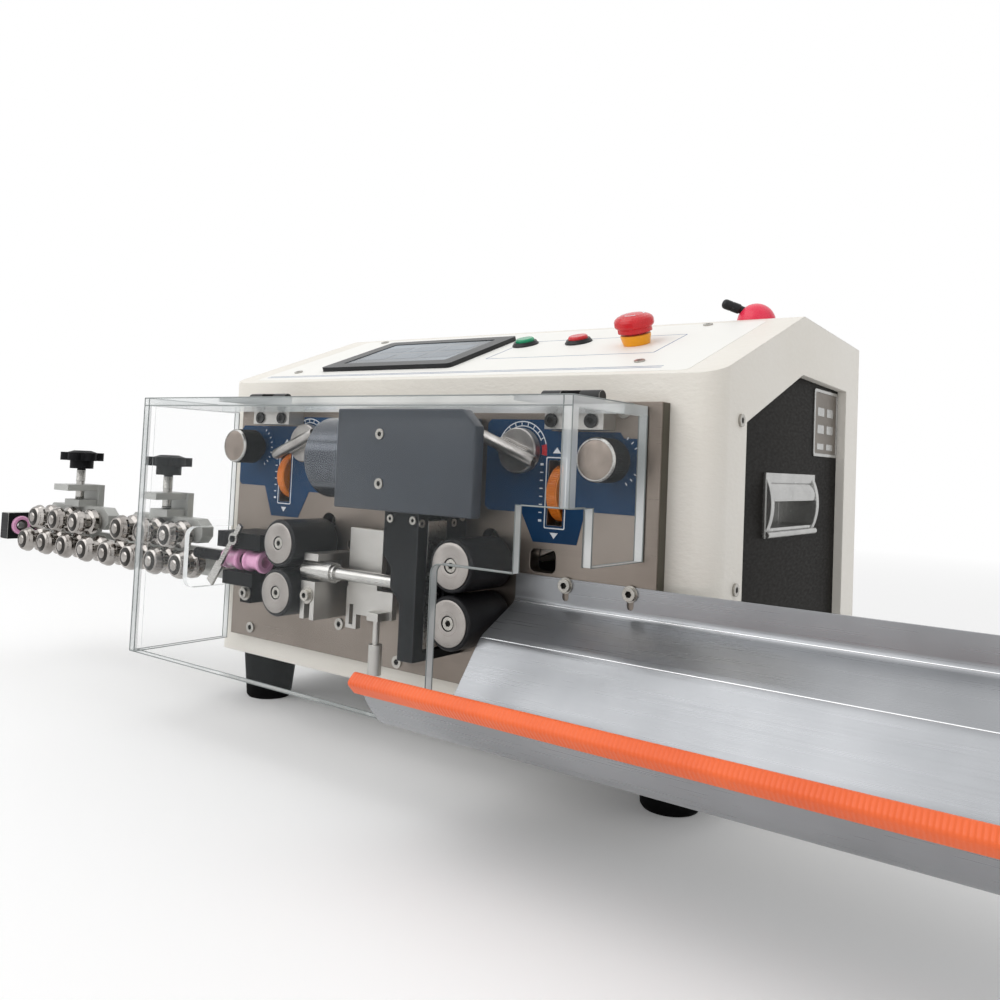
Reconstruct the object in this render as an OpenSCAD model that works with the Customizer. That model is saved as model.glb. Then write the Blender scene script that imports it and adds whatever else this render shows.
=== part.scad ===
// Wire cutting and stripping machine with a roller straightener at the infeed and a tray at the outfeed.
// Working frame: X right along the front, Y to the back, Z up, in millimetres.
// X = 0 is the middle of the front plate, Y = 0 its front face, Z = 0 the bench.
// at_origin() then moves the finished box so that its bottom centre is the origin.

/* [Cabinet] */
// width of the sheet-metal cabinet
cab_w = 471; // [420:1:520]
// depth of the cabinet behind the front plate
cab_d = 303; // [260:1:340]
// height of the cabinet front up to the fold of the control panel
fold_h = 237; // [232:1:260]
// horizontal run of the sloping control panel
panel_run = 154; // [140:1:180]
// rise of the sloping control panel
panel_rise = 58; // [40:1:80]
// fall of the top from the ridge to the back edge
top_fall = 7; // [2:1:20]
// thickness of the cabinet sheet
sheet_t = 2; // [1.5:0.5:3]
// radius of the two upright front corners
corner_r = 16; // [6:1:30]
// height of the rubber feet
foot_h = 42; // [30:1:60]
// radius of a foot at the top
foot_r_top = 23.5; // [18:0.5:28]
// radius of a foot on the bench
foot_r_low = 19.5; // [14:0.5:24]
// distance of the feet from the cabinet sides
foot_inset = 38; // [30:1:60]

/* [Side recess and handle] */
// depth of the recess in each side
recess_d = 8; // [5:0.5:14]
// recess starts this far behind the cabinet front
recess_front = 45; // [36:1:70]
// recess ends this far before the cabinet back
recess_back = 36; // [24:1:60]
// thickness of the dark liner on the recess floor
liner_t = 1; // [0.8:0.1:2]
// width of the flush handle
handle_w = 108; // [90:1:130]
// height of the flush handle
handle_h = 46; // [38:1:60]
// depth of the handle pocket
handle_d = 26; // [20:1:34]

/* [Control panel] */
// width of the touch screen bezel
screen_w = 147; // [120:1:170]
// height of the touch screen bezel
screen_h = 98; // [80:1:110]
// X of the middle of the touch screen
screen_x = -78; // [-100:1:-60]
// distance of the screen middle up the panel from the fold
screen_s = 82; // [70:1:95]
// radius of the two push buttons
button_r = 8; // [6:0.5:11]
// travel of the push buttons
button_travel = 3; // [2:0.5:4]
// X of the green start button
start_x = 19; // [14:1:30]
// X of the red stop button
stop_x = 71; // [55:1:85]
// distance of the buttons up the panel from the fold
button_s = 108; // [95:1:125]
// X of the emergency stop
estop_x = 131; // [115:1:150]
// distance of the emergency stop up the panel from the fold
estop_s = 93; // [80:1:110]
// radius of the mushroom head
estop_r = 15; // [13:0.5:20]
// travel of the mushroom head
estop_travel = 4; // [3:0.5:5]
// distance of the stylus holder from the right side of the cabinet
stylus_inset = 43.5; // [30:0.5:65]
// radius of the stylus
stylus_r = 3.25; // [2.5:0.05:4]

/* [Front plate and feed] */
// width of the front plate
plate_w = 405; // [390:1:440]
// height of the front plate
plate_h = 200; // [190:1:210]
// thickness of the front plate
plate_t = 11; // [8:0.5:14]
// underside of the front plate above the bench
plate_z = 60; // [56:1:70]
// height of the wire above the bench
wire_z = 130; // [126:1:134]
// distance of the wire in front of the plate
wire_out = 32; // [30:0.5:36]
// X of the left pair of feed rollers
feed_left_x = -91.5; // [-95:0.5:-88]
// X of the right pair of feed rollers
feed_right_x = 78; // [76:0.5:82]
// radius of the feed rollers
feed_r = 18; // [16:0.25:18.25]
// radius of the wire passage in the guide tubes
wire_bore = 3.2; // [3:0.1:3.6]
// open gap between the two rollers of a pair
feed_gap = 1.5; // [1:0.1:3]
// distance of the roller faces in front of the plate
feed_out = 48; // [42:1:52]
// radius of the roller shafts
shaft_r = 6; // [5:0.5:7]
// teeth of the feed gears
gear_teeth = 25; // [20:1:30]
// sideways distance from a swing-arm pivot to its roller
arm_dx = 45; // [42:1:48]
// height of a swing-arm pivot above its roller
arm_dz = 19; // [18:0.5:20]
// opening angle of the swing arms
arm_lift = 18; // [10:1:18]

/* [Knobs on the plate] */
// height of the gap knobs
knob_z = 222; // [218:1:226]
// X of the left gap knob
knob_left_x = -178.4; // [-182:0.2:-176]
// X of the right gap knob
knob_right_x = 171; // [168:0.5:172]
// radius of the gap knobs
knob_r = 13.8; // [11:0.1:14.5]
// height of the pressure levers
lever_z = 226.5; // [222:0.5:230]
// X of the left pressure lever
lever_left_x = -115.5; // [-119:0.5:-112]
// X of the right pressure lever
lever_right_x = 98; // [94:0.5:101]
// length of the lever bars
lever_len = 46; // [36:1:50]
// radius of the discs behind the lever bars
lever_disc_r = 16; // [12:0.5:16.25]
// X of the left thumbwheel
wheel_left_x = -142.8; // [-146:0.2:-141]
// X of the right thumbwheel
wheel_right_x = 126.5; // [125:0.5:129]
// height of the thumbwheels
wheel_z = 199; // [198:0.5:202]
// radius of the thumbwheels
wheel_r = 21; // [19:0.5:21]

/* [Cutter] */
// radius of the cutter motor
cut_motor_r = 31; // [26:0.5:31]
// length of the cutter motor
cut_motor_len = 72; // [60:1:80]
// width of the blade frame
frame_w = 31; // [29:1:34]
// X of the left face of the blade frame
frame_x = 21.5; // [20:0.5:22]
// underside of the blade frame above the bench
frame_low = 82; // [78:1:86]
// distance of the frame face in front of the plate
frame_out = 52; // [50:1:56]
// closing travel of each blade holder
blade_travel = 9; // [7:0.5:9]

/* [Safety cover] */
// thickness of the clear sheet
cover_t = 6; // [4:0.5:6]
// X of the outer left face
cover_left = -212.5; // [-213:0.5:-210]
// X of the outer right face
cover_right = 193; // [192:0.5:197]
// distance of the outer front face in front of the plate
cover_out = 90; // [86:1:94]
// height of the top face above the bench
cover_top = 257; // [257:0.5:259]
// height of the lower edge above the bench
cover_low = 55; // [50:1:60]
// length of each hinge
hinge_len = 44; // [38:1:46]
// radius of the hinge knuckles
knuckle_r = 4.5; // [4:0.1:4.6]

/* [Outfeed tray] */
// X of the left end of the tray
tray_left = 98.5; // [98:0.5:102]
// X of the right end of the tray
tray_right = 529; // [480:1:600]
// thickness of the tray sheet
tray_t = 1.5; // [1:0.1:2]
// radius of the edging tube
trim_r = 5; // [4:0.25:6]

/* [Straightener] */
// X of the left end of the straightener
line_left = -529; // [-560:1:-522]
// X of the lower roller next to the machine
line_first = -227; // [-230:0.5:-226.5]
// spacing of the lower rollers
line_pitch = 37; // [34:0.5:38]
// flange radius of the straightening rollers
line_r = 12.2; // [10:0.1:12.4]
// waist radius of the straightening rollers
line_waist = 9; // [7:0.1:9.5]
// radius of the roller axles
axle_r = 4; // [3:0.25:5]
// radius of the star knobs
star_r = 20; // [15:0.5:24]

/* [Clearances] */
// radial clearance of turning shafts
run_clr = 0.05; // [0.02:0.01:0.1]
// gap between parts that slide or pass each other
slide_clr = 0.3; // [0.2:0.05:0.5]

/* [Hidden] */
$fn = 64;
eps = 0.02;

// cabinet derived values
cab_y0 = plate_t;
cab_y1 = plate_t + cab_d;
ridge_y = cab_y0 + panel_run;
fold_z = foot_h + fold_h;
ridge_z = fold_z + panel_rise;
panel_a = atan2(panel_rise, panel_run);
top_a = atan2(top_fall, cab_d - panel_run);
side_in = cab_w / 2 - recess_d;
stylus_x = cab_w / 2 - stylus_inset;
collar_r = estop_r - 3.3;
recess_y0 = cab_y0 + recess_front;
recess_y1 = cab_y1 - recess_back;
recess_z0 = foot_h + 24;
handle_y = (recess_y0 + recess_y1) / 2 - 5;
handle_z = foot_h + 154;
pan_clr = 0.2;

// feed derived values
wire_y = -wire_out;
feed_c = 2 * feed_r + feed_gap;
low_z = wire_z - feed_c / 2;
up_z = wire_z + feed_c / 2;
plate_top = plate_z + plate_h;
arm_y = plate_t + 1;
arm_t = 8;
gear_y = plate_t + 11;
gear_w = 8;
gear_m = feed_c / gear_teeth;
pivot_r = 5;
slot_r = shaft_r + 1.75;
arm_len = norm([arm_dx, arm_dz]);
arm_a0 = atan2(arm_dz, arm_dx);
lift_dx = arm_len * cos(arm_a0 - arm_lift) - arm_dx;
lift_dz = arm_dz - arm_len * sin(arm_a0 - arm_lift);
stem_r = 5;
wheel_y = wheel_r - 8;
wheel_t = 8;
axis_r = 3;
motor_y = 56;
motor_half = 28.5;
motor_len = 76;
wheel_axle = wheel_t / 2 + 6;

// cutter derived values
cut_z = wire_z + 86;
cut_y = -cut_motor_r - 1;
web_x = frame_x - 1.5;
web_w = 42;
web_z0 = wire_z + 54;
slab_y0 = -2 * cut_motor_r - 12;
slab_y1 = slab_y0 + 9.7;
frame_r = frame_x + frame_w;
slot_half = 14;
neck_half = 10;
slot_x0 = frame_r - 9;
slot_x1 = frame_r - 2.6;

// hinge derived values
hinge_y = -18;
hinge_z = cover_top + knuckle_r;
hinge_pin_r = 2;
block_z0 = plate_z + 181;
block_z1 = cover_top - 1.5;
hinge_left_x = -146;
hinge_right_x = 148;
hinge_xs = [hinge_left_x, hinge_right_x];

// cut-outs of the clear cover: at the outfeed in the front sheet, at the infeed in the left sheet
cut_x0 = 97;
cut_x1 = 157.5;
cut_r = 6;
cut_up = 25;
step_up = 64;
notch_r = 8;

// straightener derived values
bar_t = 6;
bar_z0 = wire_z - 24;
bar_z1 = wire_z;
bar_right = -178;
low_axis = wire_z - 12;
up_axis = wire_z + 12;
roll_len = 26.6;
roll_y0 = wire_y - 13;
roll_y1 = roll_y0 + roll_len;
slide_y0 = roll_y1 + slide_clr;
slide_z0 = wire_z + 5;
slide_z1 = wire_z + 26;
lug_t = 6;
yoke_z = slide_z1 + 15;
star_y = -17;
star_z = yoke_z + 37;
line_x = [for (i = [0:7]) line_first - i * line_pitch];
up_x = [for (i = [0, 1, 2, 4, 5, 6]) line_first - (i + 0.5) * line_pitch];

// tray derived values
trim_y = -156 + trim_r;
trim_z = 94;
tray_path = [[-tray_t / 2, wire_z + 13.5], [-tray_t / 2, wire_z - 6], [-38, wire_z - 25.5], [-62, 73],
  [-66, 69], [-71.5, 66.4], [-78, 65.5], [-117, 65.5], [-122, 66], [-126.5, 67.6], [-130.6, 70.3],
  [-135, 74.6], [-139.4, 80.2], [-143.8, 86.6], [trim_y, trim_z]];

// whole box and the move that puts its bottom centre on the origin
box_mid_x = (line_left + tray_right) / 2;
box_mid_y = (trim_y - trim_r + cab_y1) / 2;

module at_origin() {
  translate([-box_mid_x, -box_mid_y, 0]) children();
}

// helpers
module box(x0, x1, y0, y1, z0, z1) {
  translate([x0, y0, z0]) cube([x1 - x0, y1 - y0, z1 - z0]);
}

module along_x(x0, x1, y, z, r) {
  translate([x0, y, z]) rotate([0, 90, 0]) cylinder(r = r, h = x1 - x0);
}

module along_y(y0, y1, x, z, r) {
  translate([x, y0, z]) rotate([-90, 0, 0]) cylinder(r = r, h = y1 - y0);
}

// profile drawn in X and Z, thickened from y0 to y1
module front_prism(y0, y1) {
  translate([0, y1, 0]) rotate([90, 0, 0]) linear_extrude(y1 - y0) children();
}

// profile drawn in Y and Z, thickened from x0 to x1
module side_prism(x0, x1) {
  translate([x0, 0, 0]) rotate([90, 0, 90]) linear_extrude(x1 - x0) children();
}

module ring_x(x0, x1, y, z, r_out, r_in) {
  difference() {
    along_x(x0, x1, y, z, r_out);
    along_x(x0 - 1, x1 + 1, y, z, r_in);
  }
}

// local Z is the panel normal, local Y runs up the slope from the fold
module on_panel(x, s) {
  translate([x, cab_y0, fold_z]) rotate([panel_a, 0, 0]) translate([0, s, 0]) children();
}

module round_plate(w, h, t, r) {
  linear_extrude(t) {
    square([w - 2 * r, h], center = true);
    square([w, h - 2 * r], center = true);
    for (sx = [-1, 1], sy = [-1, 1]) translate([sx * (w / 2 - r), sy * (h / 2 - r)]) circle(r = r);
  }
}

// cabinet
function cab_profile(i, low) = let (
    ta = tan(panel_a), tb = tan(top_a), ia = i / cos(panel_a), ib = i / cos(top_a),
    yr = ridge_y + (ia - ib) / (ta + tb)) [
  [cab_y0 + i, low], [cab_y0 + i, fold_z + i * ta - ia], [yr, ridge_z - (yr - ridge_y) * tb - ib],
  [cab_y1 - i, ridge_z - (cab_y1 - i - ridge_y) * tb - ib], [cab_y1 - i, low]];

module cab_plan(i, z0, z1) {
  r = corner_r - i;
  hw = cab_w / 2 - i;
  translate([0, 0, z0]) linear_extrude(z1 - z0) {
    translate([-hw, cab_y0 + corner_r]) square([2 * hw, cab_d - corner_r - i]);
    translate([-cab_w / 2 + corner_r, cab_y0 + i]) square([cab_w - 2 * corner_r, corner_r]);
    for (s = [-1, 1]) translate([s * (cab_w / 2 - corner_r), cab_y0 + corner_r]) circle(r = r);
  }
}

module cab_form(i, low) {
  intersection() {
    side_prism(-cab_w / 2 + i, cab_w / 2 - i) polygon(cab_profile(i, low));
    cab_plan(i, low, ridge_z + 1);
  }
}

module recess_shape(g) {
  polygon([[recess_y0 - g, recess_z0 - g], [recess_y0 - g, fold_z - 28 + g * 0.7],
    [ridge_y, ridge_z - 44 + g], [recess_y1 + g, ridge_z - 46.5 + g], [recess_y1 + g, recess_z0 - g]]);
}

module both_sides() {
  children();
  mirror([1, 0, 0]) children();
}

module handle_window(g) {
  both_sides() box(side_in - handle_d - 4, cab_w / 2 + 1, handle_y - handle_w / 2 + 5 - g,
    handle_y + handle_w / 2 - 5 + g, handle_z - handle_h / 2 + 5 - g, handle_z + handle_h / 2 - 5 + g);
}

module cabinet_shell() {
  color("#e8e4dc") difference() {
    union() {
      difference() {
        cab_form(0, foot_h);
        cab_form(sheet_t, foot_h - 1);
      }
      both_sides() intersection() {
        side_prism(side_in - sheet_t, cab_w / 2 - 0.5) recess_shape(sheet_t);
        cab_form(0.5, foot_h);
      }
      box(-150, -102, cab_y1 - 26, cab_y1 - 1, foot_h + 26, foot_h + 56);
    }
    both_sides() side_prism(side_in, cab_w / 2 + 1) recess_shape(0);
    handle_window(slide_clr);
    box(-210, 185, cab_y0 - 1, cab_y0 + corner_r + 4, plate_z + 15, plate_top - 15);
    on_panel(screen_x, screen_s) translate([-screen_w / 2 + 5.5, -screen_h / 2 + 5.5, -9])
      cube([screen_w - 11, screen_h - 11, 18]);
    for (x = [start_x, stop_x]) on_panel(x, button_s) translate([0, 0, -9])
      cylinder(r = button_r + run_clr, h = 18);
    on_panel(estop_x, estop_s) translate([0, 0, -9]) cylinder(r = button_r + run_clr, h = 18);
    box(-147, -105, cab_y1 - 23, cab_y1 + 1, foot_h + 29, foot_h + 53);
    for (k = [0:9]) box(20 + k * 14, 26 + k * 14, cab_y1 - 9, cab_y1 + 1, foot_h + 60, foot_h + 130);
  }
}

module base_pan() {
  color("#8b8a86") difference() {
    cab_plan(sheet_t + pan_clr, foot_h, foot_h + 20);
    cab_plan(2 * sheet_t + pan_clr, foot_h + sheet_t, foot_h + 21);
    for (k = [0:7]) box(-60 + k * 16, -52 + k * 16, cab_y0 + 160, cab_y0 + 240, foot_h - 1, foot_h + 4);
  }
}

module rubber_feet() {
  color("#1c1c1d") for (sx = [-1, 1], y = [cab_y0 + foot_inset - 7, cab_y1 - foot_inset + 7])
    translate([sx * (cab_w / 2 - foot_inset), y, 0]) difference() {
      union() {
        translate([0, 0, 2]) cylinder(r1 = foot_r_low, r2 = foot_r_top, h = foot_h - 2);
        cylinder(r1 = foot_r_low - 1.5, r2 = foot_r_low, h = 2);
      }
      translate([0, 0, -1]) cylinder(r = 5.5, h = foot_h - 12);
    }
}

module side_panels() {
  color("#3a3733") difference() {
    both_sides() side_prism(side_in, side_in + liner_t) recess_shape(-pan_clr);
    handle_window(slide_clr);
  }
}

module side_handles() {
  x0 = side_in + liner_t;
  hw = handle_w / 2;
  hh = handle_h / 2;
  bulge = recess_d - liner_t - 1;
  cheek_r = (hh * hh + bulge * bulge) / (2 * bulge);
  color("#c9c8c4") both_sides() translate([0, handle_y, handle_z]) {
    difference() {
      union() {
        box(x0, x0 + 2, -hw, hw, -hh, hh);
        box(x0 - handle_d, x0 + 1, -hw + 5, hw - 5, -hh + 5, hh - 5);
      }
      box(x0 - handle_d + 2, x0 + 3, -hw + 7, hw - 7, -hh + 7, hh - 7);
    }
    intersection() {
      difference() {
        along_y(-hw + 6, hw - 6, x0 - 10, hh - 17, 15);
        along_y(-hw + 5, hw - 5, x0 - 10, hh - 17, 12.5);
      }
      box(x0 - 1, x0 + 6, -hw + 6, hw - 6, -hh + 26, hh - 6);
    }
    for (s = [-1, 1]) intersection() {
      along_y(-hw, hw, x0 + bulge - cheek_r, 0, cheek_r);
      translate([0, s * (hw - 4), 0]) box(x0 + 1, x0 + bulge + 1, -3, 3, -hh, hh);
    }
    along_y(-hw + 1, hw - 1, x0 + 2.5, -hh + 2.5, 2.5);
  }
}

// control panel pieces
module touch_screen() {
  color("#17181a") on_panel(screen_x, screen_s) difference() {
    union() {
      round_plate(screen_w, screen_h, 4, 4);
      translate([-screen_w / 2 + 6, -screen_h / 2 + 6, -28]) cube([screen_w - 12, screen_h - 12, 29]);
    }
    translate([0, 1, 3]) round_plate(screen_w - 30, screen_h - 26, 4, 1.5);
  }
}

module push_button() {
  translate([0, 0, -16]) cylinder(r = button_r, h = 21);
  translate([0, 0, 5 - eps]) cylinder(r1 = button_r, r2 = button_r - 1, h = 1 + eps);
}

module start_button() {
  color("#0e9b6b") on_panel(start_x, button_s) push_button();
}

module stop_button() {
  color("#d4292f") on_panel(stop_x, button_s) push_button();
}

module estop_collar() {
  color("#f5a81c") on_panel(estop_x, estop_s) difference() {
    rotate_extrude() polygon([[0, 0], [collar_r - 1.6, 0], [collar_r, 6.8], [collar_r - 0.4, 8], [0, 8]]);
    translate([0, 0, -1]) cylinder(r = button_r + run_clr, h = 11);
  }
}

module estop_head() {
  z0 = 8 + estop_travel + slide_clr;
  color("#d5242c") on_panel(estop_x, estop_s) {
    translate([0, 0, -14]) cylinder(r = button_r, h = 14 + z0 + 1);
    translate([0, 0, z0]) rotate_extrude() polygon([[0, 0], [collar_r + 0.4, 0], [collar_r + 0.4, -2.6],
      [collar_r + 1.3, -2.6], [collar_r + 1.3, 0.6], [estop_r - 0.6, 1.6], [estop_r, 2.8], [estop_r, 6],
      [estop_r - 0.8, 7.8], [estop_r - 2.6, 9.3], [estop_r - 6, 10.7], [estop_r - 10, 11.4], [0, 11.7]]);
  }
}

stylus_y = ridge_y + 16;
stylus_z = ridge_z - 16 * tan(top_a);
dome_r = 15;
// the stylus leans to the left, to the front and up
module stylus_axis() {
  translate([stylus_x, stylus_y, stylus_z + 6.5]) rotate([0, 0, 212]) rotate([0, 71, 0]) children();
}

module stylus_holder() {
  color("#ee3b57") difference() {
    translate([stylus_x, stylus_y, stylus_z - 2]) rotate_extrude() polygon(concat([[0, 0]],
      [for (k = [0:10]) [dome_r * cos(k * 9), 3 + dome_r * sin(k * 9)]]));
    side_prism(stylus_x - 30, stylus_x + 30) polygon([[stylus_y - 40, stylus_z - 9],
      [stylus_y - 40, stylus_z + 40 * tan(top_a)], [stylus_y + 40, stylus_z - 40 * tan(top_a)],
      [stylus_y + 40, stylus_z - 9]]);
    stylus_axis() translate([0, 0, -3]) cylinder(r = stylus_r + run_clr, h = 40);
  }
}

module stylus() {
  color("#1c1c1e") stylus_axis() {
    translate([0, 0, -2.5]) cylinder(r = stylus_r, h = 43);
    translate([0, 0, 40.5 - eps]) cylinder(r1 = stylus_r, r2 = stylus_r - 1.5, h = 3);
  }
}

// front plate
module arm_slot(x, s) {
  for (k = [0, 1]) along_y(-1, plate_t + 1, x + s * k * lift_dx, up_z + k * lift_dz, slot_r);
  translate([x, -1, up_z]) rotate([0, s * atan2(lift_dx, lift_dz), 0])
    translate([-slot_r, 0, 0]) cube([2 * slot_r, plate_t + 2, norm([lift_dx, lift_dz])]);
}

module wheel_ears(x) {
  for (s = [-1, 1]) difference() {
    translate([x + s * (wheel_t / 2 + slide_clr + 3), 0, 0])
      box(-3, 3, plate_t - 1, plate_t + 12, wheel_z - 8, wheel_z + 8);
    along_x(x - 20, x + 20, wheel_y, wheel_z, axis_r + run_clr);
  }
}

module front_plate() {
  hw = plate_w / 2;
  color("#a09890") {
    difference() {
      union() {
        difference() {
          box(-hw, hw, 0, plate_t, plate_z, plate_top);
          for (x = [wheel_left_x, wheel_right_x])
            box(x - 6, x + 6, -1, plate_t + 1, wheel_z - wheel_r - 0.7, wheel_z + wheel_r + 0.7);
        }
        for (p = [[feed_left_x - arm_dx, up_z + arm_dz], [feed_right_x + arm_dx, up_z + arm_dz]])
          along_y(plate_t - 1, arm_y + arm_t + 1, p[0], p[1], pivot_r);
      }
      for (x = [feed_left_x, feed_right_x]) along_y(-1, plate_t + 1, x, low_z, shaft_r + run_clr);
      arm_slot(feed_left_x, 1);
      arm_slot(feed_right_x, -1);
      for (x = [wheel_left_x, wheel_right_x])
        along_x(x - wheel_axle - slide_clr, x + wheel_axle + slide_clr, wheel_y, wheel_z, axis_r + run_clr);
      for (x = [knob_left_x, knob_right_x]) along_y(-1, plate_t + 1, x, knob_z, stem_r + run_clr);
      for (x = [lever_left_x, lever_right_x]) along_y(-1, plate_t + 1, x, lever_z, stem_r + run_clr);
      along_y(-1, plate_t + 1, -61.6, wire_z + 18, 4);
      translate([118.5, 0, wire_z + 23.2]) rotate([90, 0, 0]) translate([0, 0, -plate_t - 1])
        round_plate(20.5, 15.5, plate_t + 2, 4);
    }
    wheel_ears(wheel_left_x);
    wheel_ears(wheel_right_x);
  }
}

// feed rollers, gears and swing arms
function gear_pts(n, m) = [for (i = [0:n - 1], k = [0:3])
  let (a = (i + [-0.26, -0.08, 0.08, 0.26][k]) * 360 / n, r = n * m / 2 + [-1.05, 0.75, 0.75, -1.05][k] * m)
  [r * cos(a), r * sin(a)]];

module feed_roller(x, z, shaft_end, phase) {
  translate([x, 0, z]) {
    translate([0, -feed_out, 0]) rotate([-90, 0, 0]) rotate_extrude() polygon([[0, 2.5], [5.2, 2.5], [5.2, 0],
      [feed_r - 2.6, 0], [feed_r - 2.2, 0.6], [feed_r - 1, 0.6], [feed_r, 1.6], [feed_r, feed_out - 3],
      [shaft_r + 4, feed_out - 3], [shaft_r + 4, feed_out - 1], [0, feed_out - 1]]);
    along_y(-2, shaft_end, 0, 0, shaft_r);
    translate([0, gear_y, 0]) rotate([-90, phase, 0]) linear_extrude(gear_w) polygon(gear_pts(gear_teeth, gear_m));
  }
}

// the lower gears are turned by half a tooth, so that each pair is in mesh
module left_upper_roller() {
  color("#1e1e20") feed_roller(feed_left_x, up_z, gear_y + gear_w + 3, 0);
}

module left_lower_roller() {
  color("#1e1e20") feed_roller(feed_left_x, low_z, motor_y - 11, 180 / gear_teeth);
}

module right_upper_roller() {
  color("#1e1e20") feed_roller(feed_right_x, up_z, gear_y + gear_w + 3, 0);
}

module right_lower_roller() {
  color("#1e1e20") feed_roller(feed_right_x, low_z, motor_y - 11, 180 / gear_teeth);
}

module roller_arm(x, s) {
  pivot = [-s * arm_dx, arm_dz];
  d = unit(pivot);
  n = side(d) * 6.2;
  translate([x, 0, up_z]) difference() {
    union() {
      along_y(arm_y, arm_y + arm_t, 0, 0, 11);
      along_y(arm_y, arm_y + arm_t, pivot[0], pivot[1], 8.5);
      front_prism(arm_y, arm_y + arm_t) polygon([d * 8 + n, pivot - d * 5.5 + n, pivot - d * 5.5 - n, d * 8 - n]);
    }
    along_y(arm_y - 1, arm_y + arm_t + 1, 0, 0, shaft_r + run_clr);
    along_y(arm_y - 1, arm_y + arm_t + 1, pivot[0], pivot[1], pivot_r + run_clr);
  }
}

module left_roller_arm() {
  color("#8f8f90") roller_arm(feed_left_x, 1);
}

module right_roller_arm() {
  color("#8f8f90") roller_arm(feed_right_x, -1);
}

module feed_motors() {
  z0 = foot_h + sheet_t;
  color("#26272a") for (x = [feed_left_x, feed_right_x]) {
    box(x - motor_half, x + motor_half, motor_y, motor_y + motor_len, low_z - motor_half, low_z + motor_half);
    along_y(motor_y - 2, motor_y + 1, x, low_z, 19);
    along_y(motor_y - 11 + slide_clr, motor_y, x, low_z, 4);
    box(x - 24, x + 24, motor_y + 4, motor_y + motor_len - 6, z0, low_z - motor_half + 0.5);
    box(x - 36, x + 36, motor_y + 4, motor_y + motor_len - 6, z0, z0 + 5);
  }
}

// knobs, levers and thumbwheels on the plate
module gap_knob(x) {
  translate([x, 0, knob_z]) {
    translate([0, -26, 0]) rotate([-90, 0, 0]) rotate_extrude() polygon([[0, 0], [knob_r - 2, 0], [knob_r, 1.2],
      [knob_r, 20], [9, 20], [9, 26 - slide_clr], [0, 26 - slide_clr]]);
    along_y(-1, plate_t + 9, 0, 0, stem_r);
  }
}

module gap_knob_left() {
  color("#1d1d1f") gap_knob(knob_left_x);
}

module gap_knob_right() {
  color("#1d1d1f") gap_knob(knob_right_x);
}

module pressure_lever(x, a) {
  translate([x, 0, lever_z]) {
    along_y(-7, -slide_clr, 0, 0, lever_disc_r);
    along_y(-19, -6, 0, 0, 8.5);
    along_y(-1, plate_t + 9, 0, 0, stem_r);
    translate([0, -14, 0]) rotate([0, -a, 0]) {
      along_x(-lever_len / 2 + 2, lever_len / 2 + 2, 0, 0, 4.2);
      translate([lever_len / 2 + 2 - eps, 0, 0]) rotate([0, 90, 0]) cylinder(r1 = 4.2, r2 = 3, h = 1.5);
    }
  }
}

module pressure_lever_left() {
  color("#b8b8b6") pressure_lever(lever_left_x, 203);
}

module pressure_lever_right() {
  color("#b8b8b6") pressure_lever(lever_right_x, 159);
}

module thumbwheel(x) {
  difference() {
    along_x(x - wheel_t / 2, x + wheel_t / 2, wheel_y, wheel_z, wheel_r);
    for (k = [0:23]) translate([0, wheel_y, wheel_z]) rotate([k * 15, 0, 0])
      along_x(x - wheel_t, x + wheel_t, wheel_r + 0.5, 0, 1.3);
  }
  along_x(x - wheel_axle, x + wheel_axle, wheel_y, wheel_z, axis_r);
}

module thumbwheel_left() {
  color("#e8862e") thumbwheel(wheel_left_x);
}

module thumbwheel_right() {
  color("#e8862e") thumbwheel(wheel_right_x);
}

// cutter
module cutter_cover() {
  color("#4a4e54") {
    front_prism(slab_y0, slab_y1) polygon([[-6.5, web_z0 - 1.5], [122, web_z0 - 1.5], [122, web_z0 + 55],
      [111, web_z0 + 66], [-6.5, web_z0 + 66]]);
    box(web_x, web_x + web_w, slab_y1 - 1, 0, web_z0, web_z0 + 64);
  }
}

module cutter_motor() {
  color("#5a5d62") {
    along_x(web_x - cut_motor_len, web_x - 12, cut_y, cut_z, cut_motor_r - 1);
    along_x(web_x - 14, web_x, cut_y, cut_z, cut_motor_r);
    along_x(web_x - cut_motor_len - 3, web_x - cut_motor_len + 1, cut_y, cut_z, 12);
  }
}

module slot_form(g, z0, z1) {
  box(slot_x0 + g, slot_x1 - g, wire_y - slot_half + g, wire_y + slot_half - g, z0, z1);
  box(slot_x1 - 2 * g - 1, frame_r + (g > 0 ? 0 : 1), wire_y - neck_half + g, wire_y + neck_half - g, z0, z1);
}

module blade_frame() {
  color("#202123") difference() {
    front_prism(-frame_out, 0) polygon([[frame_x, web_z0], [frame_x, wire_z + 22], [frame_x + 8, wire_z + 13],
      [frame_x + 8, wire_z], [frame_x + 17.5, wire_z - 10], [frame_x + 17.5, frame_low],
      [frame_r, frame_low], [frame_r, web_z0]]);
    slot_form(0, frame_low + 6, web_z0 - 5);
    along_x(frame_x - 1, slot_x0 + 1, wire_y, wire_z, 4);
  }
}

// s is 1 for the upper and -1 for the lower holder; the blades pass side by side
module blade_holder(s) {
  x0 = s > 0 ? slot_x0 + slide_clr : slot_x0 + 3.2;
  z_near = 16;
  z_far = s > 0 ? 46 : 40;
  slot_form(slide_clr, s > 0 ? wire_z + z_near : wire_z - z_far, s > 0 ? wire_z + z_far : wire_z - z_near);
  translate([0, wire_y, wire_z]) side_prism(x0, x0 + 2.5) polygon([[-11, s * 22], [11, s * 22],
    [11, s * 3.5], [6, s * 3.5], [0, s * 8], [-6, s * 3.5], [-11, s * 3.5]]);
}

module upper_blade_holder() {
  color("#b4b4b2") blade_holder(1);
}

module lower_blade_holder() {
  color("#b4b4b2") blade_holder(-1);
}

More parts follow.
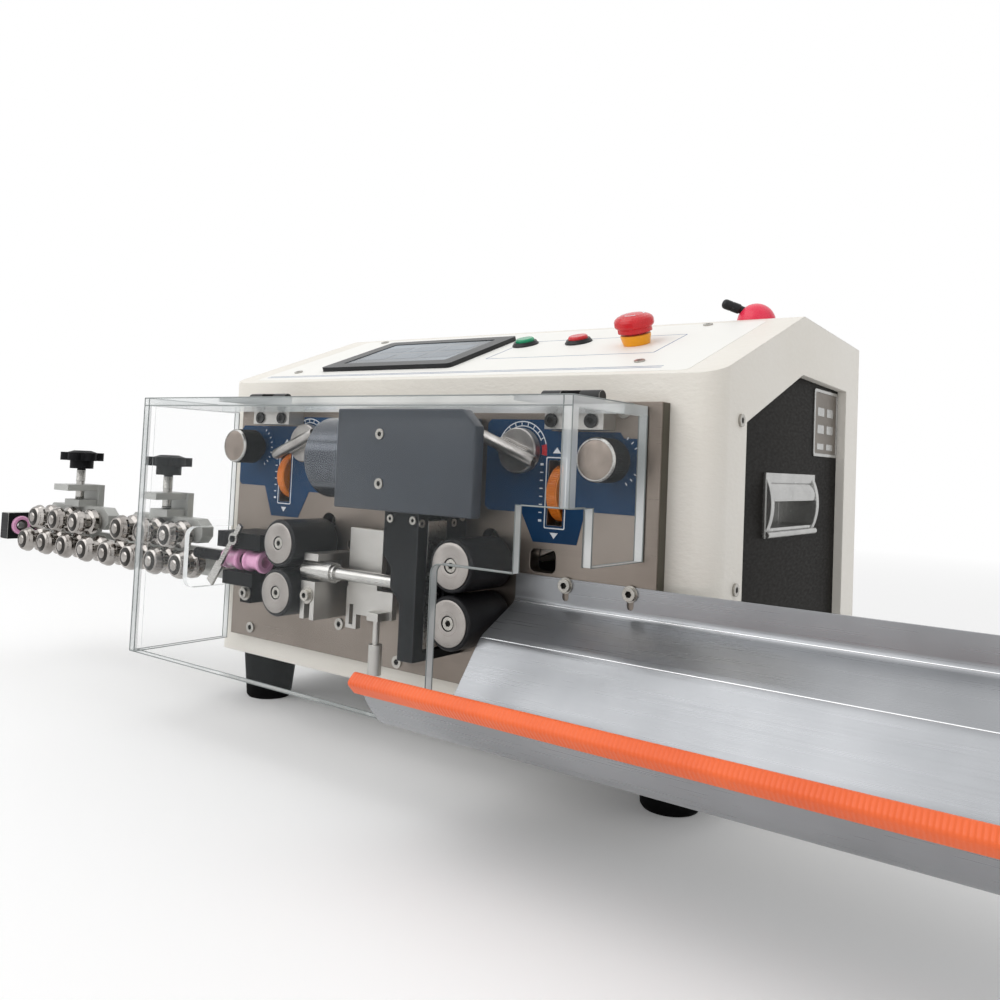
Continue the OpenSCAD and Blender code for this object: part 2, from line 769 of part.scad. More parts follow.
// guide tube between the feed rollers and the blades
sleeve_x = feed_left_x + feed_r - 1.2;
module guide_tube() {
  color("#9b9b99") difference() {
    union() {
      along_x(sleeve_x, sleeve_x + 30, wire_y, wire_z, 7.5);
      along_x(sleeve_x + 29, sleeve_x + 33, wire_y, wire_z, 6.2);
      along_x(sleeve_x + 32, frame_x + 6, wire_y, wire_z, 4.5);
    }
    along_x(sleeve_x - 1, frame_x + 8, wire_y, wire_z, wire_bore);
    translate([sleeve_x - eps, wire_y, wire_z]) rotate([0, 90, 0]) cylinder(r1 = 6, r2 = wire_bore, h = 5);
  }
}

module tube_bracket() {
  x0 = sleeve_x + 2.5;
  color("#b9b9b7") {
    difference() {
      union() {
        box(x0, x0 + 15, wire_y - 8, 0, wire_z - 36, wire_z - 7.6);
        box(x0, x0 + 15, -14, 0, wire_z - 8, wire_z + 13);
        box(x0, x0 + 15, wire_y - 6, -13, wire_z + 7.6, wire_z + 13);
      }
      box(x0 + 4.5, x0 + 10.5, wire_y - 9, wire_y + 4, wire_z - 37, wire_z - 15);
    }
    difference() {
      front_prism(-16.5, -11.5) polygon([[-47, wire_z - 11], [-47, wire_z - 42], [-36, wire_z - 42],
        [-36, wire_z - 31], [0, wire_z - 31], [0, wire_z - 11], [-16, wire_z - 11], [-16, wire_z + 1],
        [-12, wire_z + 1], [-12, wire_z + 33.5], [-46, wire_z + 33.5], [-46, wire_z - 11]]);
      box(-43.5, -39.5, -17, -11, wire_z - 39, wire_z - 24);
    }
    for (p = [[-36, wire_z + 22], [-24, wire_z - 20]]) along_y(-12, 0, p[0], p[1], 6);
    box(-13, -2, -29, -12, wire_z - 31, wire_z - 25);
    translate([-7.5, -24, wire_z - 48]) cylinder(r = 2.5, h = 20);
    translate([-7.5, -24, wire_z - 70]) cylinder(r = 5, h = 22);
  }
}

// infeed guide
guide_x = [-160, -133];
module infeed_holder() {
  color("#1b1b1d") {
    difference() {
      union() {
        box(-176, -119, -6, 0, wire_z - 34, wire_z + 22);
        box(-174, -121, wire_y - 9, -5, wire_z + 9.2, wire_z + 22);
        box(-165, -128, wire_y - 9, -5, wire_z - 20, wire_z - 9.2);
        box(-150, -138, wire_y - 2, -5, wire_z - 34, wire_z - 19);
      }
      box(-168, -160, -7, 1, wire_z - 31, wire_z - 23);
    }
    along_y(wire_y - 14, wire_y - 8, -150, wire_z + 17, 2.5);
    difference() {
      along_x(-212, guide_x[0] - 4, wire_y, wire_z, 4.5);
      along_x(-213, guide_x[0], wire_y, wire_z, wire_bore);
    }
  }
}

module spool(x) {
  translate([x, wire_y, wire_z]) rotate([0, 90, 0]) rotate_extrude() polygon([[4.55, -10], [8, -10], [9, -9],
    [9, -7], [7.4, -5], [7.4, 5], [9, 7], [9, 9], [8, 10], [4.55, 10]]);
}

module ceramic_guides() {
  color("#e0a3c8") {
    for (x = guide_x) spool(x);
    translate([line_left, wire_y, wire_z]) rotate([0, 90, 0]) rotate_extrude() polygon([[5.5, 0], [9, 0],
      [10, 1], [10, 2], [7.5, 2], [7.5, 14], [9.5, 14], [9.5, 16], [8.5, 17], [5.5, 17], [4, 15.5], [4, 1.5]]);
  }
}

module sensor_lever() {
  color("#c2c2c0") difference() {
    translate([-150, wire_y - 13, wire_z + 17]) rotate([0, -54.2, 0]) {
      box(-46, 14, 0, 2.2, -2.2, 2.2);
      box(-46, -26, 0, 2.2, -4, 4);
      along_y(0, 3.5, 0, 0, 5);
    }
    along_y(wire_y - 15, wire_y - 7, -150, wire_z + 17, 2.5 + run_clr);
  }
}

// hinges and safety cover
module hinge_blocks() {
  color("#b3b2af") for (x = hinge_xs) {
    box(x - hinge_len / 2, x + hinge_len / 2, -16, 0, block_z0, block_z1);
    box(x - hinge_len / 2, x - hinge_len / 6, -15.5, -1, block_z1 - 1, block_z1 + 3);
    box(x + hinge_len / 6, x + hinge_len / 2, -15.5, -1, block_z1 - 1, block_z1 + 3);
    along_x(x - hinge_len / 2, x - hinge_len / 6, hinge_y, hinge_z, knuckle_r);
    along_x(x + hinge_len / 6, x + hinge_len / 2, hinge_y, hinge_z, knuckle_r);
    along_x(x - hinge_len / 2, x + hinge_len / 2, hinge_y, hinge_z, hinge_pin_r);
  }
}

module cover_leaves() {
  gap = hinge_len / 6 - slide_clr;
  color("#161617") for (x = hinge_xs) difference() {
    union() {
      box(x - hinge_len / 2, x + hinge_len / 2, hinge_y - 34, hinge_y - 6, cover_top, cover_top + 3);
      box(x - gap, x + gap, hinge_y - 7, hinge_y - 1, cover_top, cover_top + 3);
      along_x(x - gap, x + gap, hinge_y, hinge_z, knuckle_r);
    }
    along_x(x - gap - 1, x + gap + 1, hinge_y, hinge_z, hinge_pin_r + run_clr);
  }
}

module safety_cover() {
  yf = -cover_out;
  yb = yf + cover_t + 1;
  xl = cover_left + cover_t + 1;
  zs = wire_z + step_up;
  zt = wire_z + cut_up;
  notch_y = wire_y - 13 + notch_r;
  color("#dfe9ea", 0.35) difference() {
    box(cover_left, cover_right, yf, -1, cover_low, cover_top);
    box(cover_left + cover_t, cover_right - cover_t, yf + cover_t, 1, cover_low - 1, cover_top - cover_t);
    box(cover_left + cover_t, cover_right - cover_t, hinge_y - 2, 1, cover_low - 1, cover_top + 1);
    box(cut_x0, cover_right + 1, yf - 1, yb, cover_low - 1, zt - cut_r);
    box(cut_x0 + cut_r, cover_right + 1, yf - 1, yb, cover_low - 1, zt);
    along_y(yf - 1, yb, cut_x0 + cut_r, zt - cut_r, cut_r);
    box(cut_x1, cover_right + 1, yf - 1, yb, zt - 1, zs);
    box(cover_right - cover_t - 1, cover_right + 1, yf - 1, -63, cover_low - 1, zs);
    box(cover_right - cover_t - 1, cover_right + 1, -64, 1, cover_low - 1, wire_z + 30);
    box(cover_left - 1, xl, notch_y, 1, wire_z - 29, wire_z + 22);
    box(cover_left - 1, xl, notch_y - notch_r, 1, wire_z - 29 + notch_r, wire_z + 22 - notch_r);
    for (z = [wire_z - 29 + notch_r, wire_z + 22 - notch_r])
      along_x(cover_left - 1, xl, notch_y, z, notch_r);
  }
}

// outfeed tray
function unit(v) = v / norm(v);
function side(v) = [-v[1], v[0]];
function path_normal(p, i) = let (
    a = i > 0 ? unit(p[i] - p[i - 1]) : unit(p[1] - p[0]),
    b = i < len(p) - 1 ? unit(p[i + 1] - p[i]) : a,
    m = unit(side(a) + side(b))) m / (m * side(a));
function sheet_pts(p, t) = concat([for (i = [0:len(p) - 1]) p[i] + path_normal(p, i) * t / 2],
  [for (i = [len(p) - 1:-1:0]) p[i] - path_normal(p, i) * t / 2]);

module outfeed_tray() {
  color("#b0afae") difference() {
    side_prism(tray_left, tray_right) polygon(sheet_pts(tray_path, tray_t));
    for (x = [138.4, 186]) box(x - 2.2, x + 2.2, -3, 1, wire_z + 2, wire_z + 11);
  }
}

module tray_trim() {
  n = len(tray_path);
  d = tray_path[n - 2] - tray_path[n - 1];
  color("#f26a2e") difference() {
    along_x(tray_left, tray_right, trim_y, trim_z, trim_r);
    translate([tray_left - 1, trim_y, trim_z]) rotate([atan2(d[1], d[0]), 0, 0])
      translate([0, -0.1, -tray_t / 2 - 0.1]) cube([tray_right - tray_left + 2, trim_r + 3, tray_t + 0.2]);
  }
}

// straightener
module line_roller(x, z) {
  translate([x, roll_y0, z]) rotate([-90, 0, 0]) rotate_extrude() polygon([[0, 0], [4.5, 0.35], [8.2, 1.6],
    [10.6, 3.4], [line_r - 0.3, 6], [line_r, 8], [line_r - 0.4, 9], [line_waist, 11], [line_waist, 15],
    [line_r - 0.4, 17], [line_r, 18], [line_r, 22], [line_r - 1, 23], [9, 23.5], [9, roll_len],
    [axle_r + run_clr, roll_len], [axle_r + run_clr, 9], [0, 9]]);
}

module axle(x, z, y_end) {
  along_y(roll_y0 + 9.5, y_end, x, z, axle_r);
}

module yoke(x) {
  box(x - 16, x + 16, -bar_t, 0, bar_z1 - 1, yoke_z + 6);
  difference() {
    box(x - 13, x + 13, star_y - 20, -bar_t + 1, yoke_z, yoke_z + 6);
    translate([x, star_y, yoke_z - 1]) cylinder(r = 4 + run_clr, h = 8);
  }
}

module straightener_bar() {
  color("#a9a8a5") {
    difference() {
      box(line_left + 2, bar_right, -bar_t, 0, bar_z0, bar_z1);
      for (x = [-188]) along_y(-bar_t - 1, 1, x, low_axis, 3);
    }
    for (x = line_x) {
      axle(x, low_axis, -bar_t + 1);
      along_y(roll_y1 + slide_clr, -bar_t + 1, x, low_axis, 7);
    }
    difference() {
      box(line_left + 2, line_left + 14, wire_y - 13, -bar_t + 1, wire_z - 14, wire_z + 13);
      along_x(line_left, line_left + 15, wire_y, wire_z, 7.6);
    }
    yoke(up_x[1]);
    yoke(up_x[4]);
  }
}

module upper_slide(k) {
  x = up_x[k + 1];
  w = line_pitch + 19;
  difference() {
    union() {
      front_prism(slide_y0, -bar_t - slide_clr) polygon([[x - w, slide_z0 + 6], [x - w + 6, slide_z0],
        [x + w - 6, slide_z0], [x + w, slide_z0 + 6], [x + w, slide_z1 - 7], [x + w - 9, slide_z1],
        [x - w + 9, slide_z1], [x - w, slide_z1 - 7]]);
      box(x - 13, x + 13, star_y - 8, -bar_t - slide_clr, slide_z1 - 1, slide_z1 + lug_t);
    }
    translate([x, star_y, slide_z1 + 1]) cylinder(r = 3 + run_clr, h = lug_t + 1);
  }
  for (i = [k:k + 2]) axle(up_x[i], up_axis, slide_y0 + 1);
}

module upper_slide_b() {
  color("#a9a8a5") upper_slide(0);
}

module upper_slide_a() {
  color("#a9a8a5") upper_slide(3);
}

module star_knob(x) {
  translate([x, star_y, 0]) {
    translate([0, 0, slide_z1 + 1.5]) cylinder(r = 3, h = lug_t);
    translate([0, 0, slide_z1 + lug_t + slide_clr]) cylinder(r = 4, h = star_z - slide_z1 - lug_t);
    translate([0, 0, star_z - 15]) cylinder(r = 11, h = 9);
    translate([0, 0, star_z - 7]) {
      cylinder(r = star_r - 5, h = 8);
      for (k = [0:5]) rotate([0, 0, k * 60]) translate([star_r - 6, 0, 0]) cylinder(r = 6, h = 8);
    }
    translate([0, 0, star_z + 1 - eps]) cylinder(r1 = star_r - 6, r2 = 8, h = 2);
  }
}

module star_knob_b() {
  color("#2a2a2c") star_knob(up_x[1]);
}

module star_knob_a() {
  color("#2a2a2c") star_knob(up_x[4]);
}

module lower_roller(i) {
  color("#cfcfd0") line_roller(line_x[i - 1], low_axis);
}

module upper_roller(i) {
  color("#cfcfd0") line_roller(up_x[i - 1], up_axis);
}

at_origin() cabinet_shell();
at_origin() base_pan();
at_origin() rubber_feet();
at_origin() side_panels();
at_origin() side_handles();
at_origin() feed_motors();
at_origin() touch_screen();
at_origin() start_button();
at_origin() stop_button();
at_origin() estop_collar();
at_origin() estop_head();
at_origin() stylus_holder();
at_origin() stylus();
at_origin() front_plate();
at_origin() cutter_cover();
at_origin() cutter_motor();
at_origin() blade_frame();
at_origin() upper_blade_holder();
at_origin() lower_blade_holder();
at_origin() guide_tube();
at_origin() tube_bracket();
at_origin() infeed_holder();
at_origin() ceramic_guides();
at_origin() sensor_lever();
at_origin() left_upper_roller();
at_origin() left_lower_roller();
at_origin() right_upper_roller();
at_origin() right_lower_roller();
at_origin() left_roller_arm();
at_origin() right_roller_arm();
at_origin() gap_knob_left();
at_origin() gap_knob_right();
at_origin() pressure_lever_left();
at_origin() pressure_lever_right();
at_origin() thumbwheel_left();
at_origin() thumbwheel_right();
at_origin() hinge_blocks();
at_origin() cover_leaves();
at_origin() safety_cover();
at_origin() outfeed_tray();
at_origin() tray_trim();
at_origin() straightener_bar();
at_origin() upper_slide_a();
at_origin() upper_slide_b();
at_origin() star_knob_a();
at_origin() star_knob_b();
at_origin() lower_roller(1);  // lower_roller_1
at_origin() lower_roller(2);  // lower_roller_2
at_origin() lower_roller(3);  // lower_roller_3
at_origin() lower_roller(4);  // lower_roller_4
at_origin() lower_roller(5);  // lower_roller_5
at_origin() lower_roller(6);  // lower_roller_6
at_origin() lower_roller(7);  // lower_roller_7
at_origin() lower_roller(8);  // lower_roller_8
at_origin() upper_roller(1);  // upper_roller_1
at_origin() upper_roller(2);  // upper_roller_2
at_origin() upper_roller(3);  // upper_roller_3
at_origin() upper_roller(4);  // upper_roller_4
at_origin() upper_roller(5);  // upper_roller_5
at_origin() upper_roller(6);  // upper_roller_6
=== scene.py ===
"""Looks of a bench-top wire cutting and stripping machine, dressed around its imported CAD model."""

import logging
import math
from dataclasses import dataclass, field
from enum import Enum
from typing import Any, Sequence

import bmesh
import bpy
from mathutils import Matrix, Vector


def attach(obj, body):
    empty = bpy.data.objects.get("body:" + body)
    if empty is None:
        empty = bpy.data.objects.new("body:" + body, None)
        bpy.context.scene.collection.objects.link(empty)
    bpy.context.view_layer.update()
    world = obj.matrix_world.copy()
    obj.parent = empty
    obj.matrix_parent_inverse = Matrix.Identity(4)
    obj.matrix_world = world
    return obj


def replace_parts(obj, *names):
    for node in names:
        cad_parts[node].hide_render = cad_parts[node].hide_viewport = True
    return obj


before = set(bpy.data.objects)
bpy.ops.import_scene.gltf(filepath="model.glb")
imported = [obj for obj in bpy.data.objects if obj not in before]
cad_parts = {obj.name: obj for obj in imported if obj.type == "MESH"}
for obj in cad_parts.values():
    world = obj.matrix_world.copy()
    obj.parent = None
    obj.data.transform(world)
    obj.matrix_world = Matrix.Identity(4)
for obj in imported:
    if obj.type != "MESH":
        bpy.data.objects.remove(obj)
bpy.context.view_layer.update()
LOG = logging.getLogger("machine")

# One millimetre in Blender's metres.
MM = 0.001
# The CAD's origin lies this far behind the face of the front plate.
ORIGIN_BACK = 79.0
# Slope of the control panel, from its run and rise, and its foot behind the plate and above the bench.
PANEL_ANGLE = math.atan2(58.0, 154.0)
PANEL_FOOT = (11.0, 279.0)
# Place of the wire, in front of the plate and above the bench.
WIRE_Y = -32.0
WIRE_Z = 130.0
# Thickness of the printed labels and of the ink on them.
LABEL_T = 0.2
INK_T = 0.08

Point = tuple[float, float, float]
Flat = tuple[float, float]
Socket = bpy.types.NodeSocket
Tree = bpy.types.NodeTree

# The ways that screws point.
FRONT: Point = (0.0, -1.0, 0.0)
RIGHT: Point = (1.0, 0.0, 0.0)
LEFT: Point = (-1.0, 0.0, 0.0)
BACK: Point = (0.0, 1.0, 0.0)


def at(x: float, y: float, z: float) -> Vector:
    """A point given in millimetres from plate middle, plate face and bench, in the row frame."""
    return Vector((x * MM, (y - ORIGIN_BACK) * MM, z * MM))


def linear(code: str) -> tuple[float, float, float, float]:
    """Turns an sRGB hex colour to linear values.

    Args:
        code: Six hex digits after a hash sign.

    Returns:
        Linear red, green and blue, with full opacity.
    """
    parts = [int(code[i:i + 2], 16) / 255 for i in (1, 3, 5)]
    low = [c / 12.92 if c <= 0.04045 else ((c + 0.055) / 1.055) ** 2.4 for c in parts]
    return (low[0], low[1], low[2], 1.0)


def add(tree: Tree, kind: str, links: dict[Any, Any] | None = None, **settings: Any) -> bpy.types.Node:
    """Adds one node with its settings, values and links.

    Args:
        tree: The node tree that gets the node.
        kind: The node's type name.
        links: Input name or number to a socket to link, or to a plain value.
        **settings: Properties of the node itself.

    Returns:
        The new node.
    """
    node = tree.nodes.new(kind)
    for key, value in settings.items():
        setattr(node, key, value)
    for key, value in (links or {}).items():
        if isinstance(value, bpy.types.NodeSocket):
            tree.links.new(value, node.inputs[key])
        else:
            node.inputs[key].default_value = value
    return node


def calc(tree: Tree, kind: str, a: Any, b: Any = 0.0) -> Socket:
    """One Math node on two values or sockets."""
    return add(tree, "ShaderNodeMath", {0: a, 1: b}, operation=kind).outputs[0]


def blend(tree: Tree, share: Any, first: Any, second: Any) -> Socket:
    """Mixes two colours by a share."""
    return add(tree, "ShaderNodeMix", {"Factor": share, 6: first, 7: second}, data_type="RGBA").outputs[2]


def remap(tree: Tree, value: Socket, start: Flat = (0.0, 1.0), end: Flat = (0.0, 1.0)) -> Socket:
    """Maps a value from one span to another."""
    spans = {"From Min": start[0], "From Max": start[1], "To Min": end[0], "To Max": end[1]}
    return add(tree, "ShaderNodeMapRange", {"Value": value, **spans}).outputs[0]


def noise(tree: Tree, place: Socket, size_mm: float, detail: float, rough: float = 0.5) -> Socket:
    """A cloud of the given grain size."""
    values = {"Vector": place, "Scale": 1 / (size_mm * MM), "Detail": detail, "Roughness": rough}
    return add(tree, "ShaderNodeTexNoise", values).outputs["Fac"]


class Grain(Enum):
    """How a surface was made, which sets its fine relief."""

    PEEL = "powder coat with a soft orange peel"
    CRINKLE = "coarse crinkled paint"
    BRUSHED = "ground or brushed along the machine"
    TURNED = "turned on a lathe, marks run round the axis"
    MOULDED = "moulded, with a fine pebbled skin"
    RIBBED = "extruded with fine cross ribs"
    PLAIN = "smooth, with soft unevenness only"


# How each grain is stretched along X, Y and Z, or round and along the axis of a turned face.
STRETCH: dict[Grain, Point] = {
    Grain.PEEL: (0.55, 0.55, 1.0),
    Grain.CRINKLE: (0.3, 0.3, 1.0),
    Grain.BRUSHED: (0.012, 1.0, 1.0),
    Grain.TURNED: (0.0, 1.0, 1.0),
}


class Look:
    """A material that is built when it is first used."""

    name: str

    def shade(self, tree: Tree) -> Socket:
        """Builds the shader and hands out its socket, in each look's own way."""
        raise NotImplementedError

    def material(self) -> bpy.types.Material:
        """Builds the material once and hands it out again afterwards.

        Returns:
            The material.
        """
        ready = bpy.data.materials.get(self.name)
        if ready:
            return ready
        made = bpy.data.materials.new(self.name)
        made.use_nodes = True
        made.node_tree.nodes.clear()
        add(made.node_tree, "ShaderNodeOutputMaterial", {"Surface": self.shade(made.node_tree)})
        return made


@dataclass(frozen=True)
class Finish(Look):
    """One opaque material of the machine.

    Attributes:
        name: Common name of the real material.
        colour: Main sRGB colour.
        tint: Second sRGB colour that the first one drifts towards.
        metallic: 1 for bare metal.
        roughness: Mean roughness.
        spread: How far the roughness drifts either way.
        grain: How the surface was made.
        grain_mm: Size of the relief, in millimetres.
        relief_mm: Height of the relief, in millimetres.
        edge_mm: Radius of the softened edges.
        wear: Colour that shows along worn edges, or empty.
        coat: Weight of a clear gloss layer.
        mottle_mm: Size of the colour drift.
        anisotropy: Stretch of highlights on turned metal.
        specular: Strength of the gloss on paint and plastic, 0.5 for a clean new surface.
    """

    name: str
    colour: str
    tint: str
    metallic: float = 0.0
    roughness: float = 0.45
    spread: float = 0.06
    grain: Grain = Grain.PLAIN
    grain_mm: float = 1.0
    relief_mm: float = 0.02
    edge_mm: float = 0.5
    wear: str = ""
    coat: float = 0.0
    mottle_mm: float = 50.0
    anisotropy: float = 0.0
    specular: float = 0.5

    def relief(self, tree: Tree) -> Socket:
        """Builds the relief pattern.

        Args:
            tree: The material's node tree.

        Returns:
            The socket that carries the relief from 0 to 1.
        """
        coords = add(tree, "ShaderNodeTexCoord")
        source = coords.outputs["UV" if self.grain is Grain.TURNED else "Object"]
        stretch = STRETCH.get(self.grain, (1.0, 1.0, 1.0))
        placed = add(tree, "ShaderNodeMapping", {"Vector": source, "Scale": stretch}).outputs[0]
        if self.grain is Grain.RIBBED:
            pitch = 0.314 / (self.grain_mm * MM)
            values = {"Vector": placed, "Scale": pitch, "Distortion": 0.6, "Detail": 1.0}
            ribs = add(tree, "ShaderNodeTexWave", values, bands_direction="X", wave_profile="SIN")
            return ribs.outputs["Fac"]
        return noise(tree, placed, self.grain_mm, 2.5, 0.55)

    def shade(self, tree: Tree) -> Socket:
        """Builds a drifting colour with worn edges, an uneven gloss and a fine relief.

        Args:
            tree: The material's node tree.

        Returns:
            The shader's socket.
        """
        relief = self.relief(tree)
        place = add(tree, "ShaderNodeTexCoord").outputs["Object"]
        share = remap(tree, noise(tree, place, self.mottle_mm, 3.0), (0.3, 0.7))
        tone = blend(tree, share, linear(self.colour), linear(self.tint))
        soft = add(tree, "ShaderNodeBevel", {"Radius": self.edge_mm * MM}, samples=4).outputs[0]
        if self.wear:
            true = add(tree, "ShaderNodeNewGeometry").outputs["Normal"]
            align = add(tree, "ShaderNodeVectorMath", {0: true, 1: soft}, operation="DOT_PRODUCT")
            rub = remap(tree, align.outputs["Value"], (0.99, 0.78), (0.0, 0.55))
            tone = blend(tree, rub, tone, linear(self.wear))
        smooth = max(self.roughness - self.spread, 0.02)
        sheen = remap(tree, relief, (0.25, 0.75), (smooth, self.roughness + self.spread))
        bump = add(tree, "ShaderNodeBump", {
            "Height": relief, "Distance": self.relief_mm * MM, "Strength": 1.0, "Normal": soft})
        shader = add(tree, "ShaderNodeBsdfPrincipled", {
            "Base Color": tone, "Metallic": self.metallic, "Roughness": sheen, "Normal": bump.outputs[0],
            "Coat Weight": self.coat, "Coat Roughness": 0.08, "Anisotropic": self.anisotropy,
            "Specular IOR Level": self.specular})
        if self.anisotropy:
            way = add(tree, "ShaderNodeTangent", direction_type="UV_MAP", uv_map="turning")
            tree.links.new(way.outputs[0], shader.inputs["Tangent"])
        return shader.outputs[0]


@dataclass(frozen=True)
class ClearSheet(Look):
    """Clear cast acrylic: see-through faces, a hard gloss at grazing angles and bright milky cut edges."""

    name: str = "clear_cast_acrylic"
    face: str = "#EAF1F2"
    edge: str = "#FAFCFC"
    shadow: str = "#C6CCCC"
    streak_mm: float = 70.0
    middle_x: float = -9.75
    half_w: float = 196.4
    front_y: float = -83.6
    top_z: float = 250.6

    def masks(self, tree: Tree) -> tuple[Socket, Socket]:
        """Marks the sawn edges, which lie across the sheets, and the bonded corners, where two sheets meet.

        Args:
            tree: The material's node tree.

        Returns:
            One socket that is 1 on a cut edge, and one that is 1 along a bonded corner.
        """
        coords = add(tree, "ShaderNodeTexCoord")
        where = add(tree, "ShaderNodeSeparateXYZ", {0: coords.outputs["Object"]}).outputs
        normal = add(tree, "ShaderNodeSeparateXYZ", {0: coords.outputs["Normal"]}).outputs
        turn = [calc(tree, "GREATER_THAN", calc(tree, "POWER", normal[i], 2.0), 0.3) for i in range(3)]
        aside = calc(tree, "ABSOLUTE", calc(tree, "SUBTRACT", where[0], self.middle_x * MM))
        near_front = calc(tree, "LESS_THAN", where[1], at(0, self.front_y, 0).y)
        near_top = calc(tree, "GREATER_THAN", where[2], self.top_z * MM)
        near_side = calc(tree, "GREATER_THAN", aside, self.half_w * MM)
        far = [calc(tree, "SUBTRACT", 1.0, near) for near in (near_side, near_front, near_top)]
        across_x = calc(tree, "MULTIPLY", turn[0], calc(tree, "MULTIPLY", near_front, far[0]))
        across_y = calc(tree, "MULTIPLY", turn[1], far[1])
        across_z = calc(tree, "MULTIPLY", turn[2], far[2])
        edge = calc(tree, "MAXIMUM", calc(tree, "MAXIMUM", across_y, across_z), across_x)
        sheets = calc(tree, "ADD", calc(tree, "ADD", near_front, near_top), near_side)
        return edge, calc(tree, "GREATER_THAN", sheets, 1.5)

    def shade(self, tree: Tree) -> Socket:
        """Builds a clear face that veils at grazing angles, with milky corners and sawn edges.

        Args:
            tree: The material's node tree.

        Returns:
            The shader's socket.
        """
        edge, bond = self.masks(tree)
        graze = add(tree, "ShaderNodeLayerWeight", {"Blend": 0.5}).outputs["Facing"]
        veil = remap(tree, calc(tree, "POWER", graze, 5.0), end=(0.012, 0.42))
        joined = add(tree, "ShaderNodeMix", {"Factor": bond, 2: veil, 3: 0.5}, data_type="FLOAT").outputs[0]
        solid = add(tree, "ShaderNodeMix", {"Factor": edge, 2: joined, 3: 0.8}, data_type="FLOAT").outputs[0]
        place = add(tree, "ShaderNodeTexCoord").outputs["Object"]
        saw = noise(tree, place, self.streak_mm, 2.0)
        sawn = blend(tree, remap(tree, saw, (0.38, 0.62)), linear(self.edge), linear(self.shadow))
        tone = blend(tree, calc(tree, "MAXIMUM", edge, bond), linear(self.face), sawn)
        gloss = remap(tree, saw, end=(0.02, 0.12))
        values = {"Base Color": tone, "Roughness": gloss, "IOR": 1.49, "Alpha": solid}
        return add(tree, "ShaderNodeBsdfPrincipled", values).outputs[0]


@dataclass(frozen=True)
class ScreenFace(Look):
    """The touch panel's cover glass over an idle display: a blue-grey cloud of painted glare under a hard
    gloss.
    """

    name: str = "touch_glass_over_display"
    low: str = "#323B43"
    high: str = "#7C8791"

    def shade(self, tree: Tree) -> Socket:
        """Builds a soft blue-grey cloud, painted glare on the glass, under a thin gloss.

        Args:
            tree: The material's node tree.

        Returns:
            The shader's socket.
        """
        place = add(tree, "ShaderNodeTexCoord").outputs["Object"]
        wide = add(tree, "ShaderNodeMapping", {"Vector": place, "Scale": (9.0, 16.0, 0.0)}).outputs[0]
        cloud = add(tree, "ShaderNodeTexNoise", {"Vector": wide, "Scale": 0.7, "Detail": 1.0})
        # The pale parts of the cloud are painted glare.
        share = remap(tree, cloud.outputs["Fac"], (0.35, 0.65))
        tone = blend(tree, share, linear(self.low), linear(self.high))
        values = {"Base Color": tone, "Roughness": 0.18, "Coat Weight": 0.08, "Coat Roughness": 0.03,
                  "Specular IOR Level": 0.16}
        return add(tree, "ShaderNodeBsdfPrincipled", values).outputs[0]


@dataclass(frozen=True)
class PaleFloor(Look):
    """A pale matt floor that keeps the shadow near the machine and runs out to white."""

    name: str = "pale_floor"
    grey: float = 0.92
    lift: float = 0.07
    fade: Flat = (0.7, 2.4)

    def shade(self, tree: Tree) -> Socket:
        """Builds the matt floor near the machine and plain white far from it.

        Args:
            tree: The material's node tree.

        Returns:
            The shader's socket.
        """
        seen = background_rays(tree)
        place = add(tree, "ShaderNodeTexCoord").outputs["Object"]
        reach = add(tree, "ShaderNodeVectorMath", {0: place}, operation="LENGTH").outputs["Value"]
        share = calc(tree, "MULTIPLY", remap(tree, reach, self.fade), seen)
        matt = add(tree, "ShaderNodeBsdfDiffuse", {"Color": (self.grey, self.grey, self.grey, 1)})
        glow = add(tree, "ShaderNodeEmission", {"Strength": self.lift})
        near = add(tree, "ShaderNodeAddShader", {0: matt.outputs[0], 1: glow.outputs[0]})
        white = add(tree, "ShaderNodeEmission", {"Strength": 1.0})
        parts = {0: share, 1: near.outputs[0], 2: white.outputs[0]}
        return add(tree, "ShaderNodeMixShader", parts).outputs[0]


def background_rays(tree: Tree) -> Socket:
    """Marks the rays on which the background shows.

    Args:
        tree: The node tree of the floor or the world.

    Returns:
        The socket that is 1 for camera, mirror and glass rays.
    """
    path = add(tree, "ShaderNodeLightPath").outputs
    direct = calc(tree, "MAXIMUM", path["Is Camera Ray"], path["Is Glossy Ray"])
    return calc(tree, "MAXIMUM", direct, path["Is Transmission Ray"])


# Epoxy powder coat on sheet steel: warm white, half matt, its soft orange peel drawn a little coarse.
POWDER_COAT = Finish(
    "cream_powder_coat", "#E9E5DD", "#E3DED4", roughness=0.42, spread=0.08, grain=Grain.PEEL, grain_mm=2.8,
    relief_mm=0.34, edge_mm=1.2, mottle_mm=140)
# The pan and hidden brackets: plain grey primer on steel.
GREY_PRIMER = Finish(
    "grey_primer_on_steel", "#8B8A86", "#7E7D7A", roughness=0.55, grain=Grain.PEEL, grain_mm=2.0)
# Crinkle paint on the side liner: near-black with a coarse leathery relief that glints.
CRINKLE_PAINT = Finish(
    "charcoal_crinkle_paint", "#141210", "#1B1916", roughness=0.46, spread=0.08, grain=Grain.CRINKLE,
    grain_mm=1.8, relief_mm=0.12, edge_mm=0.3, mottle_mm=120, specular=0.035)
# Ground steel with satin nickel: warm grey metal with fine long scratches along the machine.
SATIN_NICKEL = Finish(
    "satin_nickel_on_ground_steel", "#90877F", "#7D746C", metallic=1.0, roughness=0.36, spread=0.1,
    grain=Grain.BRUSHED, grain_mm=0.7, relief_mm=0.012, edge_mm=0.8, mottle_mm=70)
# Brushed stainless sheet: cool light metal, long brush lines; its drift to a darker tint is partly faint
# handling marks and partly painted reflection of darker surroundings.
STAINLESS = Finish(
    "brushed_stainless_sheet", "#A3A5A8", "#8F9194", metallic=0.7, roughness=0.3, spread=0.05,
    grain=Grain.BRUSHED, grain_mm=0.9, relief_mm=0.0025, edge_mm=0.4, mottle_mm=80)
